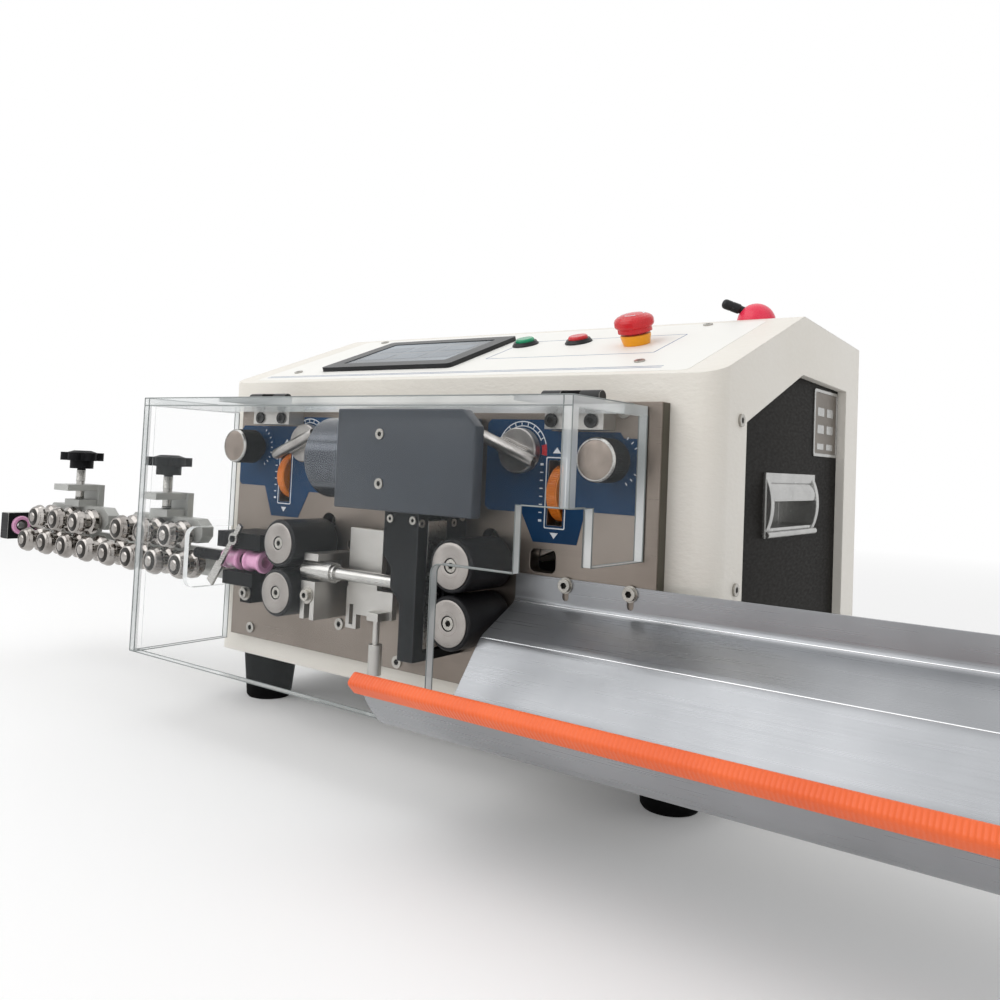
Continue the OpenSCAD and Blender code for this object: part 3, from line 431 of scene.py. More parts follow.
# Painted highlight: a bright line along each fold of the tray.
FOLD_HIGHLIGHT = Finish(
    "painted_highlight_stainless_fold", "#E8E9EA", "#D2D4D6", metallic=0.8, roughness=0.22, spread=0.05,
    grain=Grain.BRUSHED, grain_mm=0.9, relief_mm=0.003, edge_mm=0.1, mottle_mm=45)
# Ground tool steel on guides and blades: bright, with fine lines.
GROUND_STEEL = Finish(
    "ground_tool_steel", "#C4C3C0", "#B2B0AC", metallic=1.0, roughness=0.28, spread=0.08,
    grain=Grain.BRUSHED, grain_mm=0.5, relief_mm=0.008, edge_mm=0.5, mottle_mm=25)
# Turned steel faces: rings of tool marks that fan the light.
TURNED_STEEL = Finish(
    "turned_steel_face", "#A6A19D", "#97928E", metallic=1.0, roughness=0.3, spread=0.05, grain=Grain.TURNED,
    grain_mm=0.5, relief_mm=0.006, edge_mm=0.2, mottle_mm=12, anisotropy=0.75)
# Turned and lacquered brass-toned steel on the knob faces.
KNOB_FACE = Finish(
    "bronzed_steel_face", "#9A8F86", "#857B73", metallic=1.0, roughness=0.34, spread=0.1,
    grain=Grain.TURNED, grain_mm=0.6, relief_mm=0.012, edge_mm=0.4, mottle_mm=9)
# Bright chromium plate: a mirror with a slight haze from handling; its darkened colour, drifting to a darker
# tint, is painted reflection of dark surroundings.
CHROME = Finish(
    "bright_chrome_plate", "#B3AFAB", "#8A8581", metallic=1.0, roughness=0.1, spread=0.04,
    grain=Grain.PLAIN, grain_mm=8, relief_mm=0.0, edge_mm=0.4, mottle_mm=16)
# Satin chrome on the flush handles.
SATIN_CHROME = Finish(
    "satin_chrome_plate", "#B4B4B2", "#A4A4A2", metallic=0.8, roughness=0.22, spread=0.06,
    grain=Grain.PLAIN, grain_mm=3, relief_mm=0.004, edge_mm=0.8, mottle_mm=18)
# Milled aluminium blocks: pale soft metal with cutter lines.
MILLED_ALUMINIUM = Finish(
    "milled_aluminium", "#C5C3BF", "#B4B2AE", metallic=1.0, roughness=0.38, spread=0.1, grain=Grain.BRUSHED,
    grain_mm=0.9, relief_mm=0.015, edge_mm=0.6, mottle_mm=30)
# Silver-grey hammer paint on the straightener castings.
SILVER_PAINT = Finish(
    "silver_grey_enamel", "#B5B6B2", "#A6A7A4", metallic=0.25, roughness=0.38, spread=0.08,
    grain=Grain.PEEL, grain_mm=1.6, relief_mm=0.04, edge_mm=0.9, mottle_mm=40)
# Slate enamel on the cutter housing: blue-grey, smooth, rubbed paler at the edges.
SLATE_ENAMEL = Finish(
    "slate_enamel", "#3B4149", "#353A42", roughness=0.34, spread=0.06, grain=Grain.PEEL, grain_mm=1.2,
    relief_mm=0.015, edge_mm=0.9, wear="#7C8087", mottle_mm=45, specular=0.35)
# Smooth grey anodised barrel of the cutter's motor: a dark tube with long soft highlights.
GREY_ANODISED = Finish(
    "grey_anodised_tube", "#5C6066", "#50545A", metallic=0.75, roughness=0.2, spread=0.05,
    grain=Grain.BRUSHED, grain_mm=0.6, relief_mm=0.004, edge_mm=0.7, mottle_mm=40)
# Satin nickel on the pressure levers: soft grey metal, dulled by hands.
LEVER_NICKEL = Finish(
    "satin_nickel_lever", "#B0ADAA", "#94918E", metallic=0.9, roughness=0.36, spread=0.08,
    grain=Grain.PLAIN, grain_mm=3, relief_mm=0.006, edge_mm=0.5, mottle_mm=12)
# Polished arris of the acrylic sheets: bends the light, so it shows as a fine grey line.
ACRYLIC_ARRIS = Finish(
    "polished_acrylic_arris", "#8D9392", "#7B8180", roughness=0.2, spread=0.05, grain=Grain.MOULDED,
    grain_mm=1.0, relief_mm=0.002, edge_mm=0.05, mottle_mm=60, specular=0.3)
# Blackened steel of the blade frame: dark oxide with metal glinting at the edges.
BLACK_OXIDE = Finish(
    "blackened_steel", "#222426", "#1A1B1D", metallic=0.55, roughness=0.42, spread=0.1, grain=Grain.BRUSHED,
    grain_mm=0.8, relief_mm=0.01, edge_mm=0.7, wear="#6C6C6C", mottle_mm=35, specular=0.25)
# Black polyurethane tread on the feed rollers: half-gloss, with fine grinding rings.
BLACK_TREAD = Finish(
    "ground_black_polyurethane", "#19191B", "#222224", roughness=0.4, spread=0.1, grain=Grain.PEEL,
    grain_mm=0.9, relief_mm=0.02, edge_mm=0.8, mottle_mm=15, specular=0.2)
# Matt black rubber of the feet and hinge straps.
BLACK_RUBBER = Finish(
    "matt_black_rubber", "#0D0D0E", "#141414", roughness=0.62, spread=0.08, grain=Grain.MOULDED,
    grain_mm=1.2, relief_mm=0.05, edge_mm=1.2, mottle_mm=25, specular=0.03)
# Phenolic moulding of the star knobs and holders: black with a fine pebbled skin.
BLACK_MOULDING = Finish(
    "black_phenolic_moulding", "#151517", "#1D1D1F", roughness=0.48, spread=0.1, grain=Grain.MOULDED,
    grain_mm=0.8, relief_mm=0.03, edge_mm=1.0, mottle_mm=20, specular=0.08)
# Black ABS bezels: smooth moulding with a low sheen.
BLACK_ABS = Finish(
    "black_abs", "#161719", "#1E1F21", roughness=0.33, spread=0.06, grain=Grain.MOULDED, grain_mm=0.6,
    relief_mm=0.01, edge_mm=0.8, mottle_mm=30, specular=0.28)
# Red moulded polycarbonate of the stop pieces.
RED_PLASTIC = Finish(
    "red_polycarbonate", "#D11F28", "#C31A23", roughness=0.26, spread=0.05, grain=Grain.MOULDED,
    grain_mm=1.0, relief_mm=0.006, edge_mm=0.9, coat=0.25, mottle_mm=18, specular=0.3)
# Green moulded polycarbonate of the start button.
GREEN_PLASTIC = Finish(
    "green_polycarbonate", "#0E9B6B", "#0B8B60", roughness=0.24, spread=0.05, grain=Grain.MOULDED,
    grain_mm=1.0, relief_mm=0.006, edge_mm=0.8, coat=0.2, mottle_mm=12, specular=0.3)
# Yellow collar of the emergency stop.
YELLOW_PLASTIC = Finish(
    "yellow_polycarbonate", "#F6A91D", "#EE9C12", roughness=0.3, spread=0.05, grain=Grain.MOULDED,
    grain_mm=1.0, relief_mm=0.006, edge_mm=0.7, coat=0.15, mottle_mm=15, specular=0.3)
# Pinkish red dome of the stylus holder.
DOME_PLASTIC = Finish(
    "rose_red_abs", "#EC3A57", "#E02F4D", roughness=0.28, spread=0.05, grain=Grain.MOULDED, grain_mm=1.0,
    relief_mm=0.008, edge_mm=0.8, coat=0.15, mottle_mm=18, specular=0.3)
# Orange moulded thumbwheels, slightly translucent to the eye.
ORANGE_WHEEL = Finish(
    "orange_acetal", "#EA8A30", "#DD7A22", roughness=0.3, spread=0.06, grain=Grain.MOULDED, grain_mm=0.8,
    relief_mm=0.01, edge_mm=0.5, coat=0.1, mottle_mm=14, specular=0.3)
# Orange PVC edging: extruded, with fine cross ribs about two millimetres apart.
ORANGE_EDGING = Finish(
    "orange_pvc_edging", "#F26A2E", "#E65E24", roughness=0.42, spread=0.06, grain=Grain.RIBBED,
    grain_mm=2.2, relief_mm=0.22, edge_mm=0.6, mottle_mm=60)
# Fired pink alumina of the wire eyelets: smooth, dense and glossy.
PINK_CERAMIC = Finish(
    "pink_alumina_ceramic", "#E3A6CB", "#D793BD", roughness=0.22, spread=0.05, grain=Grain.MOULDED,
    grain_mm=0.7, relief_mm=0.006, edge_mm=0.6, coat=0.5, mottle_mm=9)
# Printed polyester label: dark blue with a satin top film.
BLUE_LABEL = Finish(
    "dark_blue_printed_film", "#143D63", "#113556", roughness=0.36, spread=0.05, grain=Grain.MOULDED,
    grain_mm=0.7, relief_mm=0.004, edge_mm=0.1, mottle_mm=40, specular=0.12)
# White ink on the label and panel.
WHITE_INK = Finish(
    "white_screen_ink", "#E9EDF1", "#DDE3E9", roughness=0.45, grain=Grain.MOULDED, grain_mm=0.5,
    relief_mm=0.003, edge_mm=0.05, mottle_mm=20)
# Red ink on the label.
RED_INK = Finish(
    "red_screen_ink", "#C9202B", "#BB1C27", roughness=0.45, grain=Grain.MOULDED, grain_mm=0.5,
    relief_mm=0.003, edge_mm=0.05, mottle_mm=20)
# Slate blue ink of the panel's frame lines.
LINE_INK = Finish(
    "slate_blue_screen_ink", "#4A628C", "#556D97", roughness=0.5, grain=Grain.MOULDED, grain_mm=0.5,
    relief_mm=0.003, edge_mm=0.05, mottle_mm=20)
# Bare plate on the side: satin aluminium foil with a darkened field.
PLATE_FIELD = Finish(
    "etched_aluminium_field", "#6E655B", "#5C544B", metallic=0.7, roughness=0.35, spread=0.08,
    grain=Grain.BRUSHED, grain_mm=0.6, relief_mm=0.006, edge_mm=0.2, mottle_mm=25)
# Panel film: a white polyester overlay with a fine matt skin.
PANEL_FILM = Finish(
    "white_polyester_film", "#F1F0EC", "#EDECE7", roughness=0.5, spread=0.05, grain=Grain.MOULDED,
    grain_mm=0.9, relief_mm=0.006, edge_mm=0.1, mottle_mm=120)
# Painted shade and dark reflection on the long side faces of the front plate: a dull dark olive, with lines
# along the cut.
EDGE_SHADE = Finish(
    "painted_shade_plate_edge", "#565247", "#494538", metallic=0.3, roughness=0.5, spread=0.08, grain=Grain.BRUSHED,
    grain_mm=0.8, relief_mm=0.01, edge_mm=0.1, mottle_mm=45)
# Painted shade: dark steel in the grooves between the bright rings of the straightening rollers and inside
# the eyelet's bore.
GROOVE_SHADE = Finish(
    "painted_shade_groove_steel", "#35322F", "#262422", metallic=0.7, roughness=0.3, spread=0.08,
    grain=Grain.TURNED, grain_mm=0.5, relief_mm=0.01, edge_mm=0.1, mottle_mm=8)
# Dull grey fields of the idle display.
DISPLAY_FIELD = Finish(
    "idle_display_field", "#6A7580", "#5F6A75", roughness=0.2, grain=Grain.MOULDED, grain_mm=0.5,
    relief_mm=0.001, edge_mm=0.05, coat=0.08, mottle_mm=40, specular=0.16)
# Zinc-plated screw heads.
ZINC_SCREW = Finish(
    "zinc_plated_screw", "#B7B4AE", "#A3A09A", metallic=1.0, roughness=0.3, spread=0.08,
    grain=Grain.MOULDED, grain_mm=0.6, relief_mm=0.01, edge_mm=0.35, mottle_mm=6)
# Painted shade for the floor of a screw's socket and the bottom of a blind hole: dark, dull steel where
# shade falls.
SOCKET_SHADE = Finish(
    "painted_shade_socket_steel", "#1E1C1A", "#151413", metallic=0.4, roughness=0.5, spread=0.08,
    grain=Grain.MOULDED, grain_mm=0.5, relief_mm=0.01, edge_mm=0.05, mottle_mm=4, specular=0.15)
# Black oxide screw heads.
BLACK_SCREW = Finish(
    "blackened_screw", "#2B2B2C", "#363636", metallic=0.6, roughness=0.38, spread=0.08, grain=Grain.MOULDED,
    grain_mm=0.6, relief_mm=0.01, edge_mm=0.35, mottle_mm=6)


class Shape:
    """A mesh under construction in the row frame, with helpers for turned, cut and drawn forms."""

    def __init__(self) -> None:
        """Starts an empty mesh with a UV map for turned faces."""
        self.bm = bmesh.new()
        self.uv = self.bm.loops.layers.uv.new("turning")

    def turned(self, profile: Sequence[Flat], place: Matrix, steps: int = 48,
               closed: bool = False) -> "Shape":
        """Turns a profile about the local Z axis.

        Args:
            profile: Radius and height pairs in millimetres, from one end to the other.
            place: Where local Z and the origin lie.
            steps: Number of faces round the axis.
            closed: True if the profile is a ring that closes on itself.

        Returns:
            This shape.
        """
        rows: list[list[bmesh.types.BMVert]] = []
        for radius, height in profile:
            if radius < 1e-6:
                rows.append([self.bm.verts.new(place @ Vector((0, 0, height * MM)))] * steps)
                continue
            ring = []
            for k in range(steps):
                a = 2 * math.pi * k / steps
                spot = Vector((radius * math.cos(a) * MM, radius * math.sin(a) * MM, height * MM))
                ring.append(self.bm.verts.new(place @ spot))
            rows.append(ring)
        pairs = list(zip(range(len(rows) - 1), range(1, len(rows))))
        if closed:
            pairs.append((len(rows) - 1, 0))
        run = 0.0
        for i, j in pairs:
            step = math.dist(profile[i], profile[j]) * MM
            for k in range(steps):
                m = (k + 1) % steps
                quad = [rows[i][k], rows[i][m], rows[j][m], rows[j][k]]
                marks = [(k, run), (k + 1, run), (k + 1, run + step), (k, run + step)]
                corners: list[bmesh.types.BMVert] = []
                spots: list[Flat] = []
                for vert, mark in zip(quad, marks):
                    if vert not in corners:
                        corners.append(vert)
                        spots.append(mark)
                if len(corners) < 3:
                    continue
                face = self.bm.faces.new(corners)
                for loop, spot in zip(face.loops, spots):
                    loop[self.uv].uv = (spot[0] / steps * 0.1, spot[1])
            run += step
        return self

    def slab(self, outline: Sequence[Flat], place: Matrix, depth: float) -> "Shape":
        """Raises a flat outline along local Z.

        Args:
            outline: Corners in millimetres, in order.
            place: Where the local XY plane lies.
            depth: Thickness in millimetres.

        Returns:
            This shape.
        """
        low = [self.bm.verts.new(place @ Vector((a * MM, b * MM, 0))) for a, b in outline]
        high = [self.bm.verts.new(place @ Vector((a * MM, b * MM, depth * MM))) for a, b in outline]
        self.bm.faces.new(list(reversed(low)))
        self.bm.faces.new(high)
        for k in range(len(outline)):
            m = (k + 1) % len(outline)
            self.bm.faces.new([low[k], low[m], high[m], high[k]])
        return self

    def piece(self, name: str, finish: Look, body: str = "machine", slot: str = "") -> bpy.types.Object:
        """Closes the mesh and makes it a finished piece.

        Args:
            name: Name of the piece.
            finish: Its material.
            body: The CAD body that it rides on.
            slot: Not used.

        Returns:
            The object.
        """
        bmesh.ops.remove_doubles(self.bm, verts=self.bm.verts, dist=1e-6)
        bmesh.ops.recalc_face_normals(self.bm, faces=self.bm.faces)
        for edge in self.bm.edges:
            edge.smooth = edge.calc_face_angle(0) < math.radians(38)
        for face in self.bm.faces:
            face.smooth = True
        mesh = bpy.data.meshes.new(name)
        self.bm.to_mesh(mesh)
        self.bm.free()
        return settle(bpy.data.objects.new(name, mesh), finish, body)


def settle(obj: bpy.types.Object, finish: Look, body: str) -> bpy.types.Object:
    """Links a piece, gives it its material and its body.

    Args:
        obj: The piece.
        finish: Its material.
        body: The CAD body that it rides on.

    Returns:
        The same object.
    """
    if obj.name not in bpy.context.scene.collection.objects:
        bpy.context.scene.collection.objects.link(obj)
    obj.data.materials.clear()
    obj.data.materials.append(finish.material())
    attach(obj, body)
    LOG.info("%s rides on %s", obj.name, body)
    return obj


def shift(place: Matrix, x: float, y: float, z: float = 0.0) -> Matrix:
    """The same place, moved along its own axes by millimetres."""
    return place @ Matrix.Translation(Vector((x * MM, y * MM, z * MM)))


def upright(x: float, y: float, z: float) -> Matrix:
    """A place whose local Z points up."""
    return Matrix.Translation(at(x, y, z))


def facing(x: float, y: float, z: float) -> Matrix:
    """A place whose local Z points out of the front plate, towards the operator."""
    return upright(x, y, z) @ Matrix.Rotation(math.pi / 2, 4, "X")


def backward(x: float, y: float, z: float) -> Matrix:
    """A place whose local Z points to the back."""
    return upright(x, y, z) @ Matrix.Rotation(-math.pi / 2, 4, "X")


def sideways(x: float, y: float, z: float) -> Matrix:
    """A place whose local Z points to the right, local X to the back and local Y up."""
    return upright(x, y, z) @ Matrix(((0, 0, 1), (1, 0, 0), (0, 1, 0))).to_4x4()


def on_panel(x: float, s: float, h: float = 0.0) -> Matrix:
    """A place on the sloping panel: local Y runs up the slope and local Z is its normal."""
    return shift(upright(x, *PANEL_FOOT) @ Matrix.Rotation(PANEL_ANGLE, 4, "X"), 0, s, h)


def arc(radius: float, start: float, end: float, count: int) -> list[Flat]:
    """Points on an arc in millimetres, angles in degrees."""
    steps = [math.radians(start + (end - start) * k / (count - 1)) for k in range(count)]
    return [(radius * math.cos(a), radius * math.sin(a)) for a in steps]


def band(inner: float, outer: float, start: float, end: float, count: int = 24) -> list[Flat]:
    """Outline of a part ring in millimetres, angles in degrees."""
    return arc(outer, start, end, count) + list(reversed(arc(inner, start, end, count)))


def moved(outline: Sequence[Flat], x: float, y: float) -> list[Flat]:
    """An outline moved in its own plane."""
    return [(x + a, y + b) for a, b in outline]


def rounded(w: float, h: float, r: float, count: int = 5) -> list[Flat]:
    """Draws a rectangle with rounded corners, centred on the origin.

    Args:
        w: Width in millimetres.
        h: Height in millimetres.
        r: Corner radius in millimetres.
        count: Points on each corner.

    Returns:
        The outline.
    """
    out: list[Flat] = []
    for cx, cy, start in ((1, 1, 0), (-1, 1, 90), (-1, -1, 180), (1, -1, 270)):
        out += moved(arc(r, start, start + 90, count), cx * (w / 2 - r), cy * (h / 2 - r))
    return out


def trace(curve: bpy.types.Curve, points: Sequence[Sequence[float]], closed: bool) -> None:
    """Adds one line of straight runs to a curve.

    Args:
        curve: The curve that gets the line.
        points: Its points in metres.
        closed: True if the last point joins the first.
    """
    spline = curve.splines.new("POLY")
    spline.points.add(len(points) - 1)
    spline.use_cyclic_u = closed
    for point, spot in zip(spline.points, points):
        point.co = (*spot, 1)


def drawn(name: str, curve: bpy.types.Curve) -> bpy.types.Object:
    """Turns a curve to an object with a plain mesh.

    Args:
        name: Name of the object and its mesh.
        curve: The finished curve.

    Returns:
        The object, not yet in the scene.
    """
    holder = bpy.data.objects.new(curve.name, curve)
    bpy.context.scene.collection.objects.link(holder)
    mesh = bpy.data.meshes.new_from_object(holder.evaluated_get(bpy.context.evaluated_depsgraph_get()))
    bpy.data.objects.remove(holder)
    mesh.name = name
    return bpy.data.objects.new(name, mesh)


def sheet(name: str, outlines: Sequence[Sequence[Flat]], place: Matrix, depth: float, finish: Look,
          body: str = "machine") -> bpy.types.Object:
    """Cuts a thin film with holes from outlines.

    Args:
        name: Name of the piece.
        outlines: The outer outline first, then its holes, in millimetres.
        place: Where the film's local XY plane lies.
        depth: Thickness in millimetres.
        finish: Its material.
        body: The CAD body that it rides on.

    Returns:
        The film.
    """
    curve = bpy.data.curves.new(name + "_cut", "CURVE")
    curve.dimensions = "2D"
    curve.fill_mode = "BOTH"
    curve.extrude = depth * MM / 2
    for outline in outlines:
        trace(curve, [(a * MM, b * MM, 0) for a, b in outline], True)
    obj = drawn(name, curve)
    obj.data.transform(shift(place, 0, 0, depth / 2))
    return settle(obj, finish, body)


def rods(name: str, paths: Sequence[Sequence[Point]], radius: float, finish: Look, body: str) -> None:
    """Draws fine round rods along paths.

    Args:
        name: Name of the piece.
        paths: Points in machine millimetres, one list for each rod.
        radius: Rod radius in millimetres.
        finish: Its material.
        body: The CAD body that it rides on.
    """
    curve = bpy.data.curves.new(name + "_path", "CURVE")
    curve.dimensions = "3D"
    curve.bevel_depth = radius * MM
    curve.bevel_resolution = 1
    curve.use_fill_caps = True
    for path in paths:
        trace(curve, [at(*spot) for spot in path], False)
    settle(drawn(name, curve), finish, body)


class Repeats:
    """Geometry Nodes trees for what repeats on the machine."""

    def __init__(self) -> None:
        """Builds the trees once."""
        self.heads = self.head_tree()
        self.floors = self.floor_tree()
        self.bars = self.bar_tree()

    @staticmethod
    def start(name: str, **sockets: str) -> tuple[Tree, Any]:
        """Starts a tree with named inputs and one more for the material.

        Args:
            name: Name of the tree.
            **sockets: Name and type of each input.

        Returns:
            The tree and the outputs of its Group Input node.
        """
        tree = bpy.data.node_groups.new(name, "GeometryNodeTree")
        for label, kind in {"Geometry": "Geometry", **sockets, "Material": "Material"}.items():
            tree.interface.new_socket(label, in_out="INPUT", socket_type="NodeSocket" + kind)
        tree.interface.new_socket("Geometry", in_out="OUTPUT", socket_type="NodeSocketGeometry")
        return tree, add(tree, "NodeGroupInput").outputs

    @staticmethod
    def end(tree: Tree, given: Any, points: Socket, shape: Socket, way: Socket, axis: str) -> Tree:
        """Ends a tree: the shape on each point, turned, made real and given its material.

        Args:
            tree: The tree to end.
            given: Outputs of its Group Input node.
            points: Where the shape goes.
            shape: What is set on each point.
            way: Direction of the shape's axis on each point.
            axis: The axis that takes that direction.

        Returns:
            The finished tree.
        """
        turn = add(tree, "FunctionNodeAlignRotationToVector", {"Vector": way}, axis=axis).outputs[0]
        seats = {"Points": points, "Instance": shape, "Rotation": turn}
        placed = add(tree, "GeometryNodeInstanceOnPoints", seats).outputs[0]
        real = add(tree, "GeometryNodeRealizeInstances", {"Geometry": placed}).outputs[0]
        dress = {"Geometry": real, "Material": given["Material"]}
        add(tree, "NodeGroupOutput", {0: add(tree, "GeometryNodeSetMaterial", dress).outputs[0]})
        return tree

    def on_ways(self, tree: Tree, given: Any, shape: Socket) -> Tree:
        """Ends a tree with the shape on each given point, along the point's own way."""
        way = add(tree, "GeometryNodeInputNamedAttribute", {"Name": "way"}, data_type="FLOAT_VECTOR")
        return self.end(tree, given, given["Geometry"], shape, way.outputs[0], "Z")

    @staticmethod
    def prism(tree: Tree, sides: int, radius: Any, depth: Any, lift: Socket) -> Socket:
        """Adds an upright prism.

        Args:
            tree: The tree that gets it.
            sides: Number of its sides.
            radius: Its radius in metres.
            depth: Its height in metres.
            lift: Height of its middle in metres.

        Returns:
            The prism's socket.
        """
        values = {"Vertices": sides, "Radius": radius, "Depth": depth}
        solid = add(tree, "GeometryNodeMeshCylinder", values).outputs["Mesh"]
        move = add(tree, "ShaderNodeCombineXYZ", {"Z": lift}).outputs[0]
        return add(tree, "GeometryNodeTransform", {"Geometry": solid, "Translation": move}).outputs[0]

    def head_tree(self) -> Tree:
        """Makes socket-head screws: one head on each point, with a hexagon sunk in its top.

        Returns:
            The tree.
        """
        tree, given = self.start("socket_heads", Radius="Float", Height="Float", Socket="Float")
        tall = given["Height"]
        head = self.prism(tree, 28, given["Radius"], tall, calc(tree, "MULTIPLY", tall, 0.5))
        hexagon = self.prism(tree, 6, given["Socket"], tall, tall)
        solids = {"Mesh 1": head, "Mesh 2": hexagon}
        cut = add(tree, "GeometryNodeMeshBoolean", solids, operation="DIFFERENCE").outputs[0]
        return self.on_ways(tree, given, cut)

    def floor_tree(self) -> Tree:
        """Makes the dark floors of the screws' sockets, which carry painted shade: one thin hexagon halfway
        up each head.

        Returns:
            The tree.
        """
        tree, given = self.start("socket_floors", Height="Float", Socket="Float")
        lift = calc(tree, "MULTIPLY", given["Height"], 0.52)
        return self.on_ways(tree, given, self.prism(tree, 6, given["Socket"], 0.1 * MM, lift))

    def bar_tree(self) -> Tree:
        """Sets small bars along an arc about the local Z axis, each pointing away from the middle.

        Returns:
            The tree.
        """
        tree, given = self.start(
            "bars_on_an_arc", Radius="Float", Start="Float", Sweep="Float", Count="Int", Bar="Vector")
        sweep = {"Start Angle": given["Start"], "Sweep Angle": given["Sweep"]}
        values = {"Resolution": 96, "Radius": given["Radius"], **sweep}
        line = add(tree, "GeometryNodeCurveArc", values, mode="RADIUS").outputs["Curve"]
        split = {"Curve": line, "Count": given["Count"]}
        spots = add(tree, "GeometryNodeCurveToPoints", split, mode="COUNT")
        bar = add(tree, "GeometryNodeMeshCube", {"Size": given["Bar"]}).outputs["Mesh"]
        where = add(tree, "GeometryNodeInputPosition").outputs[0]
        return self.end(tree, given, spots.outputs["Points"], bar, where, "X")

    @staticmethod
    def run(obj: bpy.types.Object, tree: Tree, values: dict[str, Any], place: Matrix, finish: Look,
            body: str, slot: str = "") -> None:
        """Runs a tree on an object and keeps its result as a plain mesh.

        Args:
            obj: The object that carries the points.
            tree: The tree to run.
            values: Input name to value.
            place: Move applied to the finished mesh.
            finish: Its material.
            body: The CAD body that it rides on.
            slot: Not used.
        """
        bpy.context.scene.collection.objects.link(obj)
        step = obj.modifiers.new("repeat", "NODES")
        step.node_group = tree
        given = {**values, "Material": finish.material()}
        for item in tree.interface.items_tree:
            if item.in_out == "INPUT" and item.name in given:
                step[item.identifier] = given[item.name]
        mesh = bpy.data.meshes.new_from_object(obj.evaluated_get(bpy.context.evaluated_depsgraph_get()))
        obj.modifiers.remove(step)
        mesh.transform(place)
        obj.data = mesh
        settle(obj, finish, body)

    def screws(self, name: str, spots: Sequence[tuple[Point, Point]], radius: float, height: float,
               finish: Look, body: str = "machine") -> None:
        """Sets socket-head screws and the floors of their sockets, darkened with painted shade.

        Args:
            name: Name of the piece.
            spots: Seat of each head in machine millimetres and the way it points.
            radius: Head radius in millimetres.
            height: Head height in millimetres.
            finish: Its material.
            body: The CAD body that it rides on.
        """
        socket = radius * 0.52 * MM
        heads = (name, self.heads, socket, finish)
        # The socket floors are painted shade.
        floors = (name + "_sockets", self.floors, socket * 0.99, SOCKET_SHADE)
        for label, tree, hexagon, metal in (heads, floors):
            mesh = bpy.data.meshes.new(label)
            mesh.from_pydata([at(*seat) for seat, _ in spots], [], [])
            ways = mesh.attributes.new("way", "FLOAT_VECTOR", "POINT")
            for item, (_, way) in zip(ways.data, spots):
                item.vector = way
            values = {"Radius": radius * MM, "Height": height * MM, "Socket": hexagon}
            self.run(bpy.data.objects.new(label, mesh), tree, values, Matrix.Identity(4), metal, body)

    def ticks(self, name: str, place: Matrix, radius: float, start: float, sweep: float, count: int,
              bar: Point, finish: Look, body: str = "machine", slot: str = "") -> None:
        """Sets small bars along an arc.

        Args:
            name: Name of the piece.
            place: Where the arc's middle and axis lie.
            radius: Arc radius in millimetres.
            start: First angle in degrees.
            sweep: Swept angle in degrees.
            count: Number of bars.
            bar: Length outwards, width and height of a bar in millimetres.
            finish: Its material.
            body: The CAD body that it rides on.
            slot: Not used.
        """
        obj = bpy.data.objects.new(name, bpy.data.meshes.new(name))
        values = {"Radius": radius * MM, "Start": math.radians(start), "Sweep": math.radians(sweep),
                  "Count": count, "Bar": tuple(v * MM for v in bar)}
        self.run(obj, self.bars, values, place, finish, body, slot)


@dataclass
class Cabinet:
    """The sheet-metal cabinet: side and back screws, bare plate and power inlet."""

    half_w: float = 235.5
    back_y: float = 314.0
    side_screws: tuple[Flat, ...] = ((45.0, 251.4), (44.0, 143.8))
    back_screws_x: Flat = (-220.0, 220.0)
    back_screws_z: Point = (60.0, 190.0, 318.0)
    plate_spot: Point = (228.5, 245.0, 261.0)
    plate_size: Flat = (61.0, 54.0)
    inlet_spot: Flat = (-126.0, 83.0)
    inlet_depth: float = 22.9
    pin_root: float = 290.9

    def build(self, repeats: Repeats) -> None:
        """Builds the cabinet's small pieces.

        Args:
            repeats: The repeating trees.
        """
        spots = []
        for y, z in self.side_screws:
            spots += [((self.half_w, y, z), RIGHT), ((-self.half_w, y, z), LEFT)]
        for x in self.back_screws_x:
            spots += [((x, self.back_y, z), BACK) for z in self.back_screws_z]
        repeats.screws("cabinet_screws", spots, 4.2, 1.6, ZINC_SCREW)
        self.bare_plate()
        self.inlet()

    def bare_plate(self) -> None:
        """The plate beside the right handle: a raised foil rim round a dark field with six empty boxes."""
        w, h = self.plate_size
        place = sideways(*self.plate_spot)
        inner = rounded(w - 5, h - 5, 1.5)
        sheet("side_plate_rim", [rounded(w, h, 2.0), inner], place, 0.9, SATIN_CHROME)
        sheet("side_plate_field", [inner], place, 0.45, PLATE_FIELD)
        boxes = Shape()
        for row, tall in enumerate((7.0, 7.0, 5.0)):
            for x in (-13, 11):
                boxes.slab(rounded(17, tall, 0.6, 3), shift(place, x, 9 - row * 14, 0.4), 0.2)
        boxes.piece("side_plate_boxes", SATIN_CHROME)

    def inlet(self) -> None:
        """The power inlet at the back: a black frame and well in the pocket, with three flat pins."""
        x, z = self.inlet_spot
        place = backward(x, self.back_y, z)
        sheet("inlet_frame", [rounded(56, 38, 3), rounded(39, 21, 2.4)], place, 2.4, BLACK_ABS)
        deep = shift(place, 0, 0, -self.inlet_depth)
        walls = [rounded(40.4, 22.4, 2.6), rounded(38.6, 20.6, 2.2)]
        sheet("inlet_well", walls, deep, self.inlet_depth - 0.1, BLACK_ABS)
        sheet("inlet_floor", [rounded(39.6, 21.6, 2.4)], deep, 0.6, BLACK_ABS)
        pins = Shape()
        for dx, dz in ((-7.0, -3.0), (7.0, -3.0), (0.0, 4.0)):
            pins.slab(rounded(2.2, 5.0, 0.6, 3), backward(x + dx, self.pin_root, z + dz), 14.0)
        pins.piece("inlet_pins", GROUND_STEEL)


